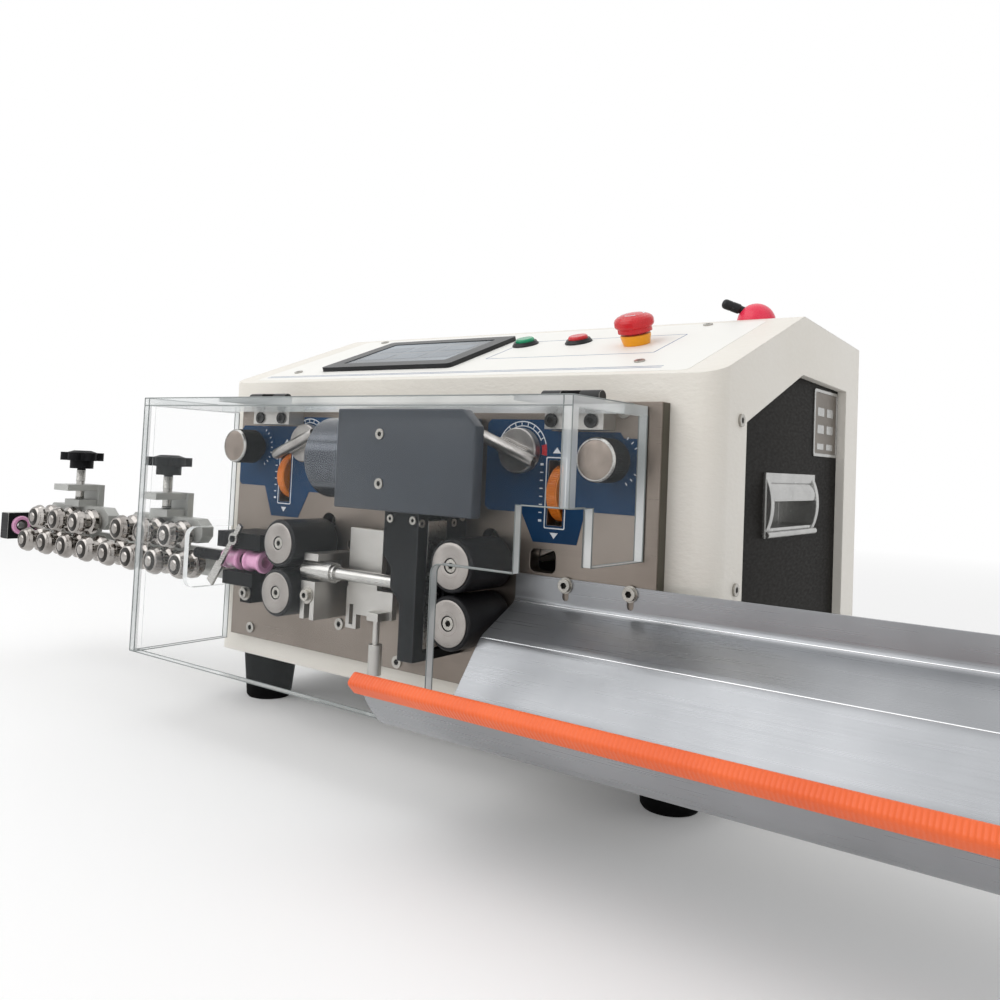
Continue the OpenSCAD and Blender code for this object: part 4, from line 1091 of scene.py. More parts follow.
@dataclass
class ControlPanel:
    """What sits on the sloping panel: display, bezels, printed lines, marks and the stylus."""

    screen: Flat = (-78.0, 82.0)
    buttons: dict[str, Flat] = field(default_factory=lambda: {"start": (19.0, 108.0), "stop": (71.0, 108.0)})
    estop: Flat = (131.0, 93.0)
    film_size: Point = (420.0, 7.0, 157.0)
    film_t: float = 0.2
    line_t: float = 0.06
    screws: tuple[Flat, ...] = ((-181.0, 33.0), (163.0, 34.0), (164.0, 151.0), (-181.0, 151.0))
    stylus_root: Point = (192.0, 181.0, 342.75)
    stylus_turn: float = 212.0
    stylus_tilt: float = 71.0

    def build(self, repeats: Repeats) -> None:
        """Builds the panel's pieces.

        Args:
            repeats: The repeating trees.
        """
        self.film()
        self.display()
        self.bezels()
        self.lines()
        spots = []
        normal = tuple(on_panel(0, 0).to_3x3() @ Vector((0, 0, 1)))
        for x, s in self.screws:
            seat = on_panel(x, s).to_translation() / MM
            spots.append(((seat.x, seat.y + ORIGIN_BACK, seat.z), normal))
        repeats.screws("panel_screws", spots, 3.8, 1.3, ZINC_SCREW)
        self.stop_highlights()
        self.stylus()

    def film(self) -> None:
        """The white overlay on the slope, cut out round the display, the buttons and the stop."""
        w, low, high = self.film_size
        outer = moved(rounded(w, high - low, 6.0), 0, (low + high) / 2)
        holes = [moved(rounded(147.4, 98.4, 4.0), *self.screen)]
        for spot in self.buttons.values():
            holes.append(moved(arc(9.0, 0, 350, 36), *spot))
        holes.append(moved(arc(10.4, 0, 350, 36), *self.estop))
        sheet("panel_film", [outer, *holes], on_panel(0, 0), self.film_t, PANEL_FILM)

    def display(self) -> None:
        """The idle display: its cover glass with six dull fields."""
        x, s = self.screen
        glass = on_panel(x, s + 1, 3.02)
        sheet("display_glass", [rounded(116.6, 71.6, 1.4)], glass, 0.5, ScreenFace())
        fields = Shape()
        for across in (-36, 0, 36):
            for up in (-14, 12):
                fields.slab(rounded(30, 18, 1.5, 3), shift(glass, across, up, 0.5), self.line_t)
        fields.piece("display_fields", DISPLAY_FIELD)

    def bezels(self) -> None:
        """Black tapered collars around the two push buttons."""
        ring = [(8.35, 0.0), (11.2, 0.0), (11.2, 1.2), (10.4, 2.0), (9.6, 3.4), (8.35, 3.4)]
        for name, spot in self.buttons.items():
            collar = Shape().turned(ring, on_panel(*spot), 40, True)
            collar.piece(f"{name}_bezel", BLACK_ABS, slot="screen_black")

    def lines(self) -> None:
        """Printed frame lines: a box round the buttons and a double line along the front edge."""
        box = [rounded(150, 60, 1.0, 2), rounded(148.4, 58.4, 0.6, 2)]
        sheet("panel_frame_line", box, on_panel(86, 90, self.film_t), self.line_t, LINE_INK)
        strips = Shape()
        for s in (16.0, 19.4):
            strips.slab(rounded(392, 1.0, 0.4, 2), on_panel(-8, s, self.film_t), self.line_t)
        strips.piece("panel_edge_lines", LINE_INK)

    def stop_highlights(self) -> None:
        """Three pale arcs on the mushroom head: painted highlights, drawn as turning marks."""
        # Each pale arc is a painted highlight.
        marks = Shape()
        top = on_panel(*self.estop, 22.4)
        for angle in (0, 120, 240):
            marks.slab(band(7.6, 8.8, 10, 70, 8), top @ Matrix.Rotation(math.radians(angle), 4, "Z"), 0.86)
        marks.piece("estop_painted_highlights", WHITE_INK, "estop_head")

    def stylus(self) -> None:
        """The touch stylus in its dome: a stout black barrel with a rounded cap."""
        turn = Matrix.Rotation(math.radians(self.stylus_turn), 4, "Z")
        tilt = Matrix.Rotation(math.radians(self.stylus_tilt), 4, "Y")
        barrel = [
            (0, -2.4), (3.2, -2.4), (3.2, 13.6), (3.7, 14.0), (4.0, 14.8), (4.0, 20.0), (3.8, 20.3),
            (3.8, 21.0), (4.0, 21.3), (4.0, 25.6), (3.6, 27.0), (2.6, 28.0), (1.3, 28.5), (0, 28.6)]
        pen = Shape().turned(barrel, upright(*self.stylus_root) @ turn @ tilt, 40)
        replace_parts(pen.piece("stylus_pen", BLACK_ABS, "stylus", "stylus_plastic"), "stylus")


@dataclass(frozen=True)
class Side:
    """Where the controls of one half of the front plate sit, and the outline of its label."""

    name: str
    lever_x: float
    lever_angle: float
    knob_x: float
    wheel_x: float
    label: tuple[Flat, ...]


SIDES = (
    Side("left", -115.5, 203.0, -178.4, -142.8, (
        (-85, 245), (-88, 248), (-123.4, 248), (-123.4, 240.3), (-199, 240.3), (-202, 237.3), (-202, 192),
        (-199, 189), (-168, 189), (-158, 164.4), (-124.6, 164.8), (-113, 186.6), (-88, 186.6),
        (-85, 189.6))),
    Side("right", 98.0, 159.0, 171.0, 126.5, (
        (68, 245), (71, 248), (121.5, 248), (121.5, 240.3), (174, 240.3), (176.5, 236.5), (188, 236.5),
        (190.5, 234), (190.5, 191), (187.5, 188), (150, 188), (144.4, 165.8), (110, 165.4), (99.6, 184.6),
        (71, 184.6), (68, 187.6))),
)


@dataclass
class FrontPlate:
    """The front plate's labels, scales and screws, with its knobs, levers and wheels."""

    lever_z: float = 226.5
    knob_z: float = 222.0
    wheel_z: float = 199.0
    wheel_r: float = 19.0
    half_w: float = 202.5
    edge_t: float = 0.15
    hinges: Flat = (-146.0, 148.0)
    hinge_axis: Flat = (-18.0, 261.5)

    def build(self, repeats: Repeats) -> None:
        """Builds the plate's pieces.

        Args:
            repeats: The repeating trees.
        """
        for side in SIDES:
            self.label(side, repeats)
            self.knob(side, repeats)
            self.lever(side)
            self.wheel(side, repeats)
        self.barrels()
        self.edges()
        self.fasteners(repeats)

    def label(self, side: Side, repeats: Repeats) -> None:
        """One dark-blue label with its printed scales.

        Args:
            side: Left or right.
            repeats: The repeating trees.
        """
        x, z = side.wheel_x, self.wheel_z
        cuts = [moved(rounded(12.6, 43.8, 0.6, 2), x, z)]
        for spot in ((side.lever_x, self.lever_z), (side.knob_x, self.knob_z)):
            cuts.append(moved(arc(6.5, 0, 354, 30), *spot))
        sheet(f"label_{side.name}", [side.label, *cuts], facing(0, 0, 0), LABEL_T, BLUE_LABEL)
        ink = facing(0, -LABEL_T, 0)
        edge = [moved(rounded(16.5, 48, 0.8, 2), x, z), moved(rounded(14.9, 46.4, 0.5, 2), x, z)]
        sheet(f"wheel_frame_{side.name}", edge, ink, INK_T, WHITE_INK)
        dial = facing(side.lever_x, -LABEL_T, self.lever_z)
        arcs = Shape().slab(band(16.8, 17.4, 25, 160), dial, INK_T)
        arcs.slab(band(19.8, 20.5, 5, 165), dial, INK_T)
        arcs.piece(f"dial_arcs_{side.name}", WHITE_INK)
        Shape().slab(band(16.5, 20.5, -8, 14, 8), dial, 0.09).piece(f"dial_red_{side.name}", RED_INK)
        steps = shift(dial, 0, 0, INK_T / 2)
        repeats.ticks(f"dial_ticks_{side.name}", steps, 18.6, 28, 130, 9, (2.2, 0.6, INK_T), WHITE_INK)
        ring = shift(facing(side.knob_x, -LABEL_T, self.knob_z), 0, 0, INK_T / 2)
        repeats.ticks(f"knob_ticks_{side.name}", ring, 16.6, -60, 120, 9, (2.0, 0.6, INK_T), WHITE_INK)
        marks = Shape()
        for k in range(8):
            tall = 0.7 if 0 < k < 7 else 1.6
            marks.slab(rounded(2.6, tall, 0.2, 2), shift(ink, x - 11.6, z - 19 + k * 5.4), INK_T)
        for sign in (1, -1):
            tip = [(x + a, z + sign * b) for a, b in ((-3.2, 26.5), (3.2, 26.5), (0, 30.5))]
            marks.slab(tip[::sign], ink, INK_T)
        marks.piece(f"wheel_marks_{side.name}", WHITE_INK)

    def knob(self, side: Side, repeats: Repeats) -> None:
        """The bronzed face, bright rim and knurled side of one gap knob.

        Args:
            side: Left or right.
            repeats: The repeating trees.
        """
        body = f"gap_knob_{side.name}"
        face = facing(side.knob_x, -26, self.knob_z)
        disc = [(0, 0.0), (12.4, 0.0), (12.4, 0.25), (11.8, 0.5), (6, 0.62), (0, 0.65)]
        Shape().turned(disc, face, 56).piece(f"knob_face_{side.name}", KNOB_FACE, body)
        rim = [(12.4, -0.2), (13.9, -1.4), (14.05, -0.8), (13.2, 0.5), (12.5, 0.6)]
        Shape().turned(rim, face, 56, True).piece(f"knob_rim_{side.name}", GROUND_STEEL, body)
        grip = facing(side.knob_x, -15, self.knob_z)
        ridge = (0.7, 0.65, 16.5)
        name = f"knob_knurl_{side.name}"
        repeats.ticks(name, grip, 13.8, 0, 354, 72, ridge, BLACK_MOULDING, body, "black_plastic")

    def lever(self, side: Side) -> None:
        """One pressure lever: a chamfered disc, a low bridge and a bar with a blind hole in its lower end.

        Args:
            side: Left or right.
        """
        body = f"pressure_lever_{side.name}"
        turn = Matrix.Rotation(math.radians(-side.lever_angle), 4, "Y")
        disc = [(0, -20), (4.5, -20), (5.0, -19.5), (5.0, 0.3), (15.0, 0.3), (15.6, 0.9), (15.6, 6.8),
                (14.8, 7.7), (0, 7.9)]
        shape = Shape().turned(disc, facing(side.lever_x, 0, self.lever_z), 56)
        bridge = upright(side.lever_x, -7.7, self.lever_z) @ turn @ Matrix.Rotation(math.pi / 2, 4, "X")
        shape.slab(rounded(25, 10.4, 2.2), bridge, 5.2)
        axis = upright(side.lever_x, -14, self.lever_z) @ turn @ Matrix.Rotation(-math.pi / 2, 4, "Y")
        bar = [(0, 15), (3.0, 15), (3.1, 20.8), (3.3, 21), (3.7, 21), (4.2, 20.3), (4.2, -25.4),
               (3.9, -26.6), (3.0, -28), (0, -28)]
        shape.turned(bar, axis, 36)
        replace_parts(shape.piece(f"lever_{side.name}", LEVER_NICKEL, body, "lever_chrome"), body)
        # A dark plug at the bottom of the blind hole: painted shade.
        plug = [(0, 15.1), (2.9, 15.1), (2.9, 15.4), (0, 15.5)]
        Shape().turned(plug, axis, 28).piece(f"lever_bore_{side.name}", SOCKET_SHADE, body)

    def wheel(self, side: Side, repeats: Repeats) -> None:
        """One orange thumbwheel: a crowned disc on its axle, with fine teeth round the rim.

        Args:
            side: Left or right.
            repeats: The repeating trees.
        """
        body = f"thumbwheel_{side.name}"
        place = sideways(side.wheel_x, 13, self.wheel_z)
        r = self.wheel_r
        half = [(0, 10), (2.6, 10), (3, 9.6), (3, 4.2), (6.5, 4.0), (7.2, 2.6), (r - 6, 2.6), (r - 2.4, 3.1),
                (r - 1.6, 4.0), (r - 0.5, 4.0), (r, 3.4)]
        disc = Shape().turned([*half, *((a, -b) for a, b in reversed(half))], place, 72)
        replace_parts(disc.piece(f"wheel_{side.name}", ORANGE_WHEEL, body, "wheel_orange"), body)
        tooth = (0.8, 0.9, 6.6)
        name = f"wheel_teeth_{side.name}"
        repeats.ticks(name, place, r, 0, 355, 72, tooth, ORANGE_WHEEL, body, "wheel_orange")

    def barrels(self) -> None:
        """Black sleeves on the fixed knuckles of the cover's hinges."""
        sleeves = Shape()
        ends = [(0, -0.14), (4.25, -0.14), (4.64, 0.25), (4.64, 14.5), (4.4, 14.5), (4.4, 0.1), (0, 0.1)]
        for middle in self.hinges:
            for x, sign in ((middle - 22.0, 1), (middle + 22.0, -1)):
                sleeves.turned([(r, sign * h) for r, h in ends], sideways(x, *self.hinge_axis), 32)
        sleeves.piece("hinge_sleeves", BLACK_ABS, slot="hinge_black")

    def edges(self) -> None:
        """The long side faces of the plate, behind its bright arris, darkened with painted shade and dark
        reflection.
        """
        strip = [rounded(9.2, 199.0, 0.3, 2)]
        # Each strip is painted shade and dark reflection.
        for name, x in (("left", -self.half_w - self.edge_t), ("right", self.half_w)):
            sheet(f"plate_edge_{name}", strip, sideways(x, 6.2, 160), self.edge_t, EDGE_SHADE)

    def fasteners(self, repeats: Repeats) -> None:
        """Screws in the plate, hinge blocks, cutter housing, blade frame, brackets and tray.

        Args:
            repeats: The repeating trees.
        """
        plate = ((-176.5, 0, 67.8), (-69.8, 0, 85.2), (-7.3, 0, 65.7), (176.0, 0, 253.8), (-176.5, 0, 253.8),
                 (176.5, 0, 72.0))
        blocks = ((-159.0, -16, 246.2), (-133.0, -16, 246.2), (131.2, -16, 246.6), (161.2, -16, 246.6))
        housing = ((34.1, -74, 233.0), (35.4, -74, 200.2))
        blade_side = ((52.5, -49.0, 174.5), (52.5, -15.0, 174.2), (52.5, -5.6, 178.0))
        blade_front = ((47.5, -52, 176.2), (27.0, -52, 176.2))
        brackets = ((-64.8, -40, 112.0), (-143.5, -34, 104.0), (-188.0, -6, 118.0), (-204.0, -6, 118.0))
        tray = ((138.4, -1.5, 139.2), (186.0, -1.5, 139.2))
        rows = (
            ("plate_screws", (), plate, 4.6, 1.2, ZINC_SCREW),
            ("hinge_screws", (), blocks, 4.6, 1.6, BLACK_SCREW),
            ("housing_screws", (), housing, 3.6, 0.9, ZINC_SCREW),
            ("blade_frame_screws", blade_side, blade_front, 2.8, 0.8, ZINC_SCREW),
            ("bracket_screws", (), brackets, 4.2, 3.6, ZINC_SCREW),
            ("tray_screws", (), tray, 4.4, 3.2, ZINC_SCREW),
        )
        for name, to_right, to_front, radius, height, finish in rows:
            spots = [(p, RIGHT) for p in to_right] + [(p, FRONT) for p in to_front]
            repeats.screws(name, spots, radius, height, finish)
        washers = Shape()
        for spot, r in zip((*tray, *brackets), (5.3, 5.3, 6.4, 6.2)):
            washers.turned([(2.6, 0), (r, 0), (r, 1.0), (2.6, 1.0)], facing(*spot), 32, True)
        washers.piece("washers", ZINC_SCREW)


@dataclass
class Cutter:
    """The cutter's housing: a thick slab with softened edges, carried by a web behind it."""

    outline: tuple[Flat, ...] = (
        (-6.5, 182.5), (113.7, 182.5), (113.7, 239.0), (103.0, 250.0), (-6.5, 250.0))
    slab_back: float = -64.3
    slab_t: float = 9.7
    soft_edge: float = 1.1
    web_x: Flat = (20.0, 62.0)
    web_z: Flat = (184.0, 248.0)

    def build(self, _: Repeats) -> None:
        """Builds the slab and the web as one piece in place of the CAD housing."""
        shape = Shape().slab(self.outline, facing(0, self.slab_back, 0), self.slab_t)
        edges = list(shape.bm.edges)
        soft = self.soft_edge * MM
        bmesh.ops.bevel(shape.bm, geom=edges, offset=soft, segments=3, affect="EDGES", profile=0.5)
        (left, right), (low, high) = self.web_x, self.web_z
        web = [(left, low), (right, low), (right, high), (left, high)]
        shape.slab(web, facing(0, 0, 0), -self.slab_back + 1)
        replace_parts(shape.piece("cutter_housing", SLATE_ENAMEL, slot="slate_paint"), "cutter_cover")


@dataclass
class CoverLines:
    """The polished arrises of the acrylic cover, which outline its clear sheets."""

    left: float = -212.5
    right: float = 193.0
    front: float = -90.0
    back: float = -1.0
    low: float = 55.0
    top: float = 257.0
    thick: float = 6.0
    notch_x: Flat = (97.0, 157.5)
    notch_z: Flat = (155.0, 194.0)
    notch_r: float = 6.0
    step: Flat = (-63.5, 160.0)
    hinge_y: float = -20.0
    line_r: float = 0.42

    def build(self, _: Repeats) -> None:
        """Draws each arris as a fine rod that swings with the cover."""
        rods("cover_arris", self.paths(), self.line_r, ACRYLIC_ARRIS, "cover")

    def paths(self) -> list[list[Point]]:
        """Lists the arrises: front cut-out, left and right sheets, bonded corners and top sheet.

        Returns:
            The points of each arris in machine millimetres.
        """
        a, b, f, t = self.left, self.right, self.front, self.thick
        (x0, x1), (z0, z1), (step_y, step_z) = self.notch_x, self.notch_z, self.step
        corner = moved(arc(self.notch_r, 180, 90, 7), x0 + self.notch_r, z0 - self.notch_r)
        cut = [(a, self.low), (x0, self.low), *corner, (x1, z0), (x1, z1), (b, z1)]
        lines = [[(x, y, z) for x, z in cut] for y in (f, f + t)]
        end = (self.back, self.top - t)
        left_edge = [(f, self.low), (self.back, self.low), end]
        right_edge = [(f, z1), (step_y, z1), (step_y, step_z), (self.back, step_z), end]
        lines += [[(x, y, z) for y, z in left_edge] for x in (a, a + t)]
        lines += [[(x, y, z) for y, z in right_edge] for x in (b - t, b)]
        lines += [[(x, f, self.low), (x, f, self.top)] for x in (a, a + t)]
        lines += [[(x, f, z1), (x, f, self.top)] for x in (b - t, b)]
        lines += [[(a, f, z), (b, f, z)] for z in (self.top, self.top - t)]
        lines += [[(x, f, self.top), (x, self.hinge_y, self.top)] for x in (a, b)]
        return lines


@dataclass
class Tray:
    """The outfeed tray: one bent stainless sheet with soft folds and bolt slots, and its orange edging."""

    left: float = 98.5
    right: float = 529.0
    thick: float = 1.5
    fold: float = 4.5
    curl: float = 2.2
    folds: int = 2
    flats: int = 7
    flat_start: float = 0.15
    path: tuple[Flat, ...] = (
        (-0.75, 143.5), (-0.75, 124.0), (-38.0, 104.5), (-62.0, 73.0), (-66.0, 69.0), (-71.5, 66.4),
        (-78.0, 65.5), (-117.0, 65.5), (-122.0, 66.0), (-126.5, 67.6), (-130.6, 70.3), (-135.0, 74.6),
        (-139.4, 80.2), (-143.8, 86.6), (-151.0, 94.0))
    fold_highlights: tuple[Flat, Flat] = ((-2.15, 124.85), (-37.97, 104.46))
    slots: Flat = (138.4, 186.0)
    slot_size: Point = (4.8, 12.4, 135.2)
    edging: Point = (10.6, 8.6, 2.2)

    def build(self, _: Repeats) -> None:
        """Builds the sheet with its slots, painted highlight lines along two folds, and the edging on its
        lip.
        """
        line = self.soft_line()
        sides: list[list[Flat]] = [[], []]
        for k, here in enumerate(line):
            along = (line[min(k + 1, len(line) - 1)] - line[max(k - 1, 0)]).normalized()
            off = Vector((-along.y, along.x)) * self.thick / 2
            sides[0].append(tuple(here + off))
            sides[1].append(tuple(here - off))
        long = self.right - self.left
        shape = Shape().slab(sides[0] + sides[1][::-1], sideways(self.left, 0, 0), long)
        bent = shape.piece("tray_sheet", STAINLESS, slot="tray_stainless")
        w, h, z = self.slot_size
        cutter = Shape()
        for x in self.slots:
            cutter.slab(moved(rounded(w, h, w / 2 - 0.1), x, z), facing(0, 2, 0), 6)
        self.cut(bent, cutter)
        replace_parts(bent, "outfeed_tray")
        # Bright rods along the two upper folds are painted highlights.
        lines = [[(x, *spot) for x in (self.left + 0.2, self.right - 0.2)] for spot in self.fold_highlights]
        rods("tray_fold_highlights", lines, 0.6, FOLD_HIGHLIGHT, "machine")
        (y0, z0), (y1, z1) = self.path[-2:]
        place = sideways(self.left, y1, z1) @ Matrix.Rotation(math.atan2(z1 - z0, y1 - y0), 4, "Z")
        strip = Shape().slab(rounded(*self.edging), place, long)
        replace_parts(strip.piece("tray_edging", ORANGE_EDGING, slot="trim_orange"), "tray_trim")

    def soft_line(self) -> list[Vector]:
        """Draws the sheet's middle line with each corner round.

        Returns:
            Points across the machine and above the bench, in millimetres.
        """
        spots = [Vector(p) for p in self.path]
        out = [spots[0]]
        for k in range(1, len(spots) - 1):
            reach = self.fold if k <= self.folds else self.curl
            before = (spots[k - 1] - spots[k]).normalized()
            after = (spots[k + 1] - spots[k]).normalized()
            start, end = spots[k] + before * reach, spots[k] + after * reach
            if k <= self.flats:
                out.append(start + before * self.flat_start)
            for step in range(7):
                f = step / 6
                out.append(start * (1 - f) ** 2 + spots[k] * 2 * f * (1 - f) + end * f ** 2)
            if k <= self.flats:
                out.append(end + after * self.flat_start)
        return out + [spots[-1]]

    @staticmethod
    def cut(obj: bpy.types.Object, cutter: Shape) -> None:
        """Cuts holes in a piece and keeps the result as a plain mesh.

        Args:
            obj: The piece.
            cutter: The shapes to take away.
        """
        mesh = bpy.data.meshes.new("slot_cutter")
        bmesh.ops.recalc_face_normals(cutter.bm, faces=cutter.bm.faces)
        cutter.bm.to_mesh(mesh)
        cutter.bm.free()
        tool = bpy.data.objects.new("slot_cutter", mesh)
        bpy.context.scene.collection.objects.link(tool)
        step = obj.modifiers.new("slots", "BOOLEAN")
        step.object = tool
        step.operation = "DIFFERENCE"
        done = bpy.data.meshes.new_from_object(obj.evaluated_get(bpy.context.evaluated_depsgraph_get()))
        obj.modifiers.remove(step)
        obj.data = done
        bpy.data.objects.remove(tool)


@dataclass
class Feed:
    """The feed rollers' turned faces and centre screws."""

    axes: dict[str, Flat] = field(default_factory=lambda: {
        "left_upper_roller": (-91.5, 148.75), "left_lower_roller": (-91.5, 111.25),
        "right_upper_roller": (78.0, 148.75), "right_lower_roller": (78.0, 111.25)})
    face_y: float = -48.0

    def build(self, repeats: Repeats) -> None:
        """Builds one face and one screw for each roller.

        Args:
            repeats: The repeating trees.
        """
        ring = [(5.2, 0.0), (15.3, 0.0), (15.3, 0.12), (14.9, 0.35), (5.6, 0.35), (5.2, 0.15)]
        for body, (x, z) in self.axes.items():
            face = Shape().turned(ring, facing(x, self.face_y, z), 64, True)
            face.piece(f"{body}_face", TURNED_STEEL, body)
            seat = ((x, self.face_y + 2.5, z), FRONT)
            repeats.screws(f"{body}_screw", [seat], 4.4, 2.2, ZINC_SCREW, body)


@dataclass
class Straightener:
    """Dark end block, ringed roller ends, threaded screws and fasteners of the straightener."""

    block_right: float = -515.0
    first_x: float = -227.0
    pitch: float = 37.0
    lower_z: float = 118.0
    upper_z: float = 142.0
    upper_gaps: tuple[int, ...] = (0, 1, 2, 4, 5, 6)
    roll_y: float = -45.0
    star_y: float = -17.0
    stars: dict[str, float] = field(default_factory=lambda: {"star_knob_b": -282.5, "star_knob_a": -430.5})
    lead: float = 1.25
    threaded: tuple[Flat, Flat] = ((162.6, 164.6), (180.4, 192.8))

    def build(self, repeats: Repeats) -> None:
        """Builds the end block's dark faces, the painted-shade lining of the eyelet's bore, the roller ends,
        threads and yoke screws.

        Args:
            repeats: The repeating trees.
        """
        place = sideways(self.block_right, WIRE_Y, WIRE_Z)
        outer = [(-12.8, -13.8), (25.8, -13.8), (25.8, 12.8), (-12.8, 12.8)]
        sheet("end_block_face", [outer, arc(9.8, 0, 350, 36)], place, 0.4, BLACK_OXIDE)
        front = facing(self.block_right - 7, WIRE_Y - 13, WIRE_Z - 0.5)
        sheet("end_block_front", [rounded(13.2, 26.2, 0.8)], front, 0.4, BLACK_OXIDE)
        # The bore's dark lining is painted shade.
        lining = [(3.97, -12), (3.85, -12), (3.85, 1.4), (5.5, 3.1), (5.8, 3.1), (5.8, 3.01), (5.5, 3.01),
                  (3.97, 1.5)]
        Shape().turned(lining, place, 40, True).piece("eyelet_bore", GROOVE_SHADE)
        for i in range(8):
            self.roller_end(f"lower_roller_{i + 1}", self.first_x - self.pitch * i, self.lower_z)
        for i, gap in enumerate(self.upper_gaps):
            self.roller_end(f"upper_roller_{i + 1}", self.first_x - self.pitch * (gap + 0.5), self.upper_z)
        spots = []
        for body, x in self.stars.items():
            self.thread(body, x)
            spots += [((x + dx, 0.0, 150.0), BACK) for dx in (-10.0, 10.0)]
        repeats.screws("yoke_screws", spots, 3.4, 2.4, ZINC_SCREW)

    def roller_end(self, body: str, x: float, z: float) -> None:
        """The bright hub and rim and the dark groove, painted shade, on one roller's domed end.

        Args:
            body: The roller's body.
            x: Its axis along the machine.
            z: Its axis above the bench.
        """
        place = facing(x, self.roll_y, z)
        hub = [(0, -0.3), (4.5, -0.6), (4.7, -0.1), (4.1, 0.45), (2.8, 0.85), (1.2, 1.05), (0, 1.1)]
        rim = [(8.2, -1.9), (8.25, -1.2), (8.6, -0.95), (9.1, -1.0), (9.9, -1.75), (10.5, -2.7),
               (10.7, -3.7)]
        Shape().turned(hub, place, 32).turned(rim, place, 40, True).piece(f"{body}_rings", CHROME, body)
        # The dark band in the groove is painted shade.
        groove = [(4.6, -0.5), (8.3, -1.75), (8.3, -1.45), (4.6, -0.25)]
        Shape().turned(groove, place, 40, True).piece(f"{body}_groove", GROOVE_SHADE, body)

    def thread(self, body: str, x: float) -> None:
        """The bright shank of one star screw: threaded at both ends, plain in the yoke's arm.

        Args:
            body: The star knob's body.
            x: Its axis along the machine.
        """
        shape = Shape()
        axis = upright(x, self.star_y, 0)
        for low, high in self.threaded:
            turns = int((high - low) / self.lead)
            edge = []
            for k in range(turns):
                edge += [(4.1, low + k * self.lead), (4.38, low + (k + 0.5) * self.lead)]
            end = low + turns * self.lead
            shape.turned([*edge, (4.1, end), (3.9, end), (3.9, low)], axis, 28, True)
        plain = [(4.02, 164.5), (4.02, 180.5), (3.9, 180.5), (3.9, 164.5)]
        shape.turned(plain, axis, 64, True)
        shape.piece(f"{body}_thread", GROUND_STEEL, body)


@dataclass
class Studio:
    """Pale floor, soft light and the camera of the photograph."""

    camera_place: Point = (458.4, -518.8, 217.7)
    yaw: float = 36.24
    pitch: float = 2.68
    roll: float = 2.56
    lens: float = 33.08
    lens_shift: Flat = (-0.0003, -0.0805)
    floor_half: float = 8.0

    def build(self) -> None:
        """Builds the floor, the lamps, the world and the camera."""
        self.floor()
        self.lamp("key_panel", (-0.9, -1.5, 1.7), (0.0, -0.05, 0.15), 2.4, 26.0)
        self.lamp("fill_panel", (1.9, -1.1, 1.1), (0.1, 0.0, 0.15), 2.0, 3.5)
        self.lamp("top_panel", (0.1, 0.3, 2.2), (0.0, 0.0, 0.2), 2.6, 7.0)
        self.world()
        self.camera()

    def floor(self) -> None:
        """A wide pale floor."""
        mesh = bpy.data.meshes.new("floor")
        r = self.floor_half
        mesh.from_pydata([(-r, -r, 0), (r, -r, 0), (r, r, 0), (-r, r, 0)], [], [(0, 1, 2, 3)])
        obj = bpy.data.objects.new("floor", mesh)
        bpy.context.scene.collection.objects.link(obj)
        mesh.materials.append(PaleFloor().material())

    @staticmethod
    def lamp(name: str, spot: Point, target: Point, size: float, power: float) -> None:
        """One square soft lamp.

        Args:
            name: Name of the lamp.
            spot: Its place in metres.
            target: Where it points.
            size: Side of the square in metres.
            power: Power in watts.
        """
        data = bpy.data.lights.new(name, "AREA")
        data.size = size
        data.energy = power
        obj = bpy.data.objects.new(name, data)
        obj.location = spot
        obj.rotation_mode = "QUATERNION"
        obj.rotation_quaternion = (Vector(target) - Vector(spot)).to_track_quat("-Z", "Y")
        bpy.context.scene.collection.objects.link(obj)

    @staticmethod
    def world() -> None:
        """A white room: even light on the object, plain white where the camera or a mirror sees it."""
        world = bpy.data.worlds.new("white_room")
        world.use_nodes = True
        tree = world.node_tree
        tree.nodes.clear()
        way = add(tree, "ShaderNodeTexCoord").outputs["Generated"]
        up = add(tree, "ShaderNodeSeparateXYZ", {0: way}).outputs[2]
        rise = remap(tree, up, (-0.15, 0.7), (0.36, 0.7))
        around = add(tree, "ShaderNodeBackground", {"Color": (1, 1, 1, 1), "Strength": rise}).outputs[0]
        white = add(tree, "ShaderNodeBackground", {"Color": (1, 1, 1, 1), "Strength": 1.0}).outputs[0]
        both = add(tree, "ShaderNodeMixShader", {0: background_rays(tree), 1: around, 2: white}).outputs[0]
        add(tree, "ShaderNodeOutputWorld", {"Surface": both})
        bpy.context.scene.world = world

    def camera(self) -> None:
        """The camera solved from the photograph's perspective."""
        yaw, pitch, roll = (math.radians(v) for v in (self.yaw, self.pitch, self.roll))
        ahead = Vector((-math.sin(yaw) * math.cos(pitch), math.cos(yaw) * math.cos(pitch), math.sin(pitch)))
        right = Vector((math.cos(yaw), math.sin(yaw), 0))
        up = right.cross(ahead)
        right_rolled = right * math.cos(roll) + up * math.sin(roll)
        up_rolled = up * math.cos(roll) - right * math.sin(roll)
        turn = Matrix((right_rolled, up_rolled, -ahead)).transposed()
        data = bpy.data.cameras.new("photo_camera")
        data.sensor_width = 36.0
        data.lens = self.lens
        data.shift_x, data.shift_y = self.lens_shift
        data.clip_start = 0.01
        data.clip_end = 60.0
        obj = bpy.data.objects.new("photo_camera", data)
        obj.rotation_mode = "QUATERNION"
        obj.location = at(*self.camera_place)
        obj.rotation_quaternion = turn.to_quaternion()
        bpy.context.scene.collection.objects.link(obj)
        bpy.context.scene.camera = obj
        bpy.context.scene.view_settings.view_transform = "Standard"


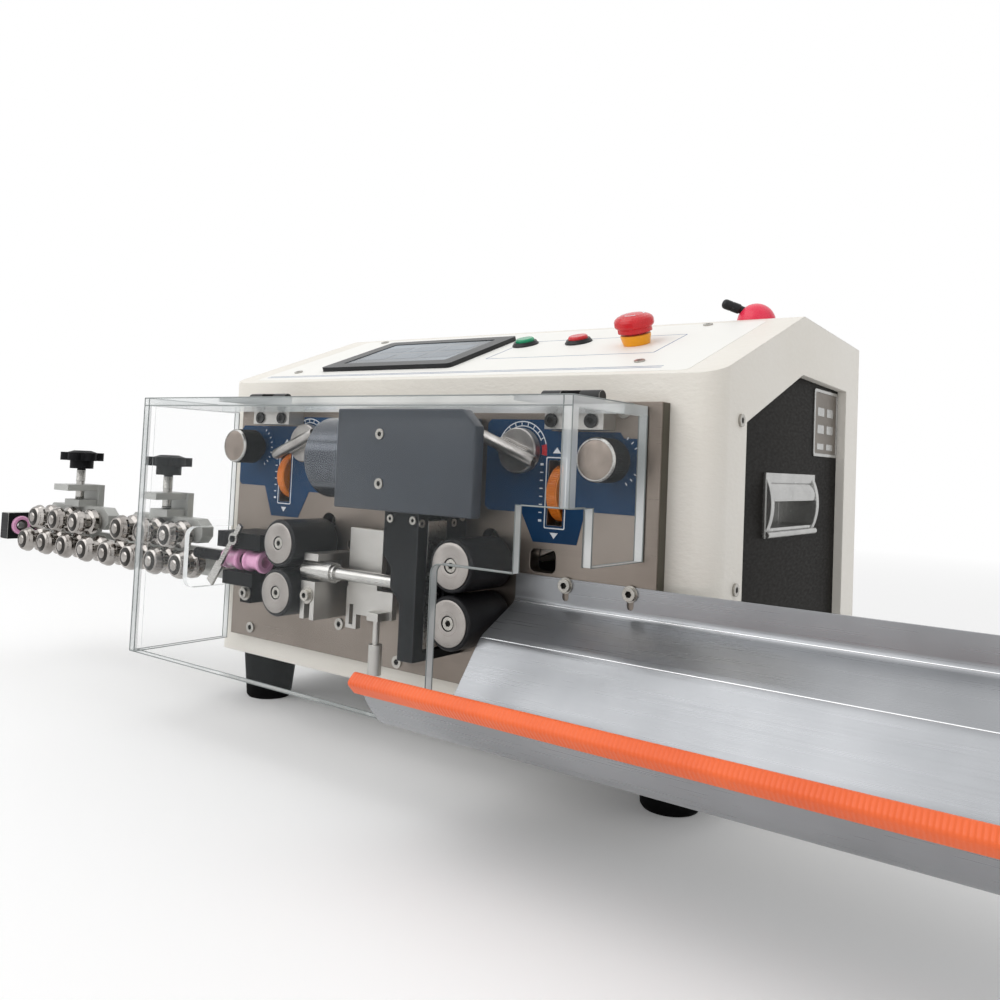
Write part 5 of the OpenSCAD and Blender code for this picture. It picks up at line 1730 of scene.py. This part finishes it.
# Each look and the CAD nodes that wear it. The straightening rollers, not named here, share bright chrome.
NODE_LOOKS: tuple[tuple[Look, str], ...] = (
    (POWDER_COAT, "cabinet_shell"),
    (GREY_PRIMER, "base_pan"),
    (BLACK_RUBBER, "rubber_feet cover_leaves"),
    (CRINKLE_PAINT, "side_panels"),
    (SATIN_CHROME, "side_handles pressure_lever_left pressure_lever_right"),
    (BLACK_OXIDE, "feed_motors blade_frame"),
    (BLACK_ABS, "touch_screen stylus"),
    (GREEN_PLASTIC, "start_button"),
    (RED_PLASTIC, "stop_button estop_head"),
    (YELLOW_PLASTIC, "estop_collar"),
    (DOME_PLASTIC, "stylus_holder"),
    (SATIN_NICKEL, "front_plate"),
    (SLATE_ENAMEL, "cutter_cover"),
    (GREY_ANODISED, "cutter_motor"),
    (GROUND_STEEL, "upper_blade_holder lower_blade_holder guide_tube sensor_lever"),
    (MILLED_ALUMINIUM, "tube_bracket left_roller_arm right_roller_arm hinge_blocks"),
    (BLACK_MOULDING, "infeed_holder gap_knob_left gap_knob_right star_knob_a star_knob_b"),
    (PINK_CERAMIC, "ceramic_guides"),
    (BLACK_TREAD, "left_upper_roller left_lower_roller right_upper_roller right_lower_roller"),
    (ORANGE_WHEEL, "thumbwheel_left thumbwheel_right"),
    (ClearSheet(), "safety_cover"),
    (STAINLESS, "outfeed_tray"),
    (ORANGE_EDGING, "tray_trim"),
    (SILVER_PAINT, "straightener_bar upper_slide_a upper_slide_b"),
)


def dress_nodes() -> None:
    """Gives every CAD node its material."""
    looks = {name: look for look, names in NODE_LOOKS for name in names.split()}
    for name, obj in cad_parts.items():
        look = looks.get(name, CHROME)
        obj.data.materials.clear()
        obj.data.materials.append(look.material())
        LOG.info("%s gets %s", name, look.name)


def main() -> None:
    """Builds the sub-assemblies in order."""
    logging.basicConfig(level=logging.INFO)
    Studio().build()
    dress_nodes()
    repeats = Repeats()
    parts = (Cabinet(), ControlPanel(), FrontPlate(), Cutter(), CoverLines(), Tray(), Feed(), Straightener())
    for part in parts:
        part.build(repeats)


if __name__ == "__main__":
    main()
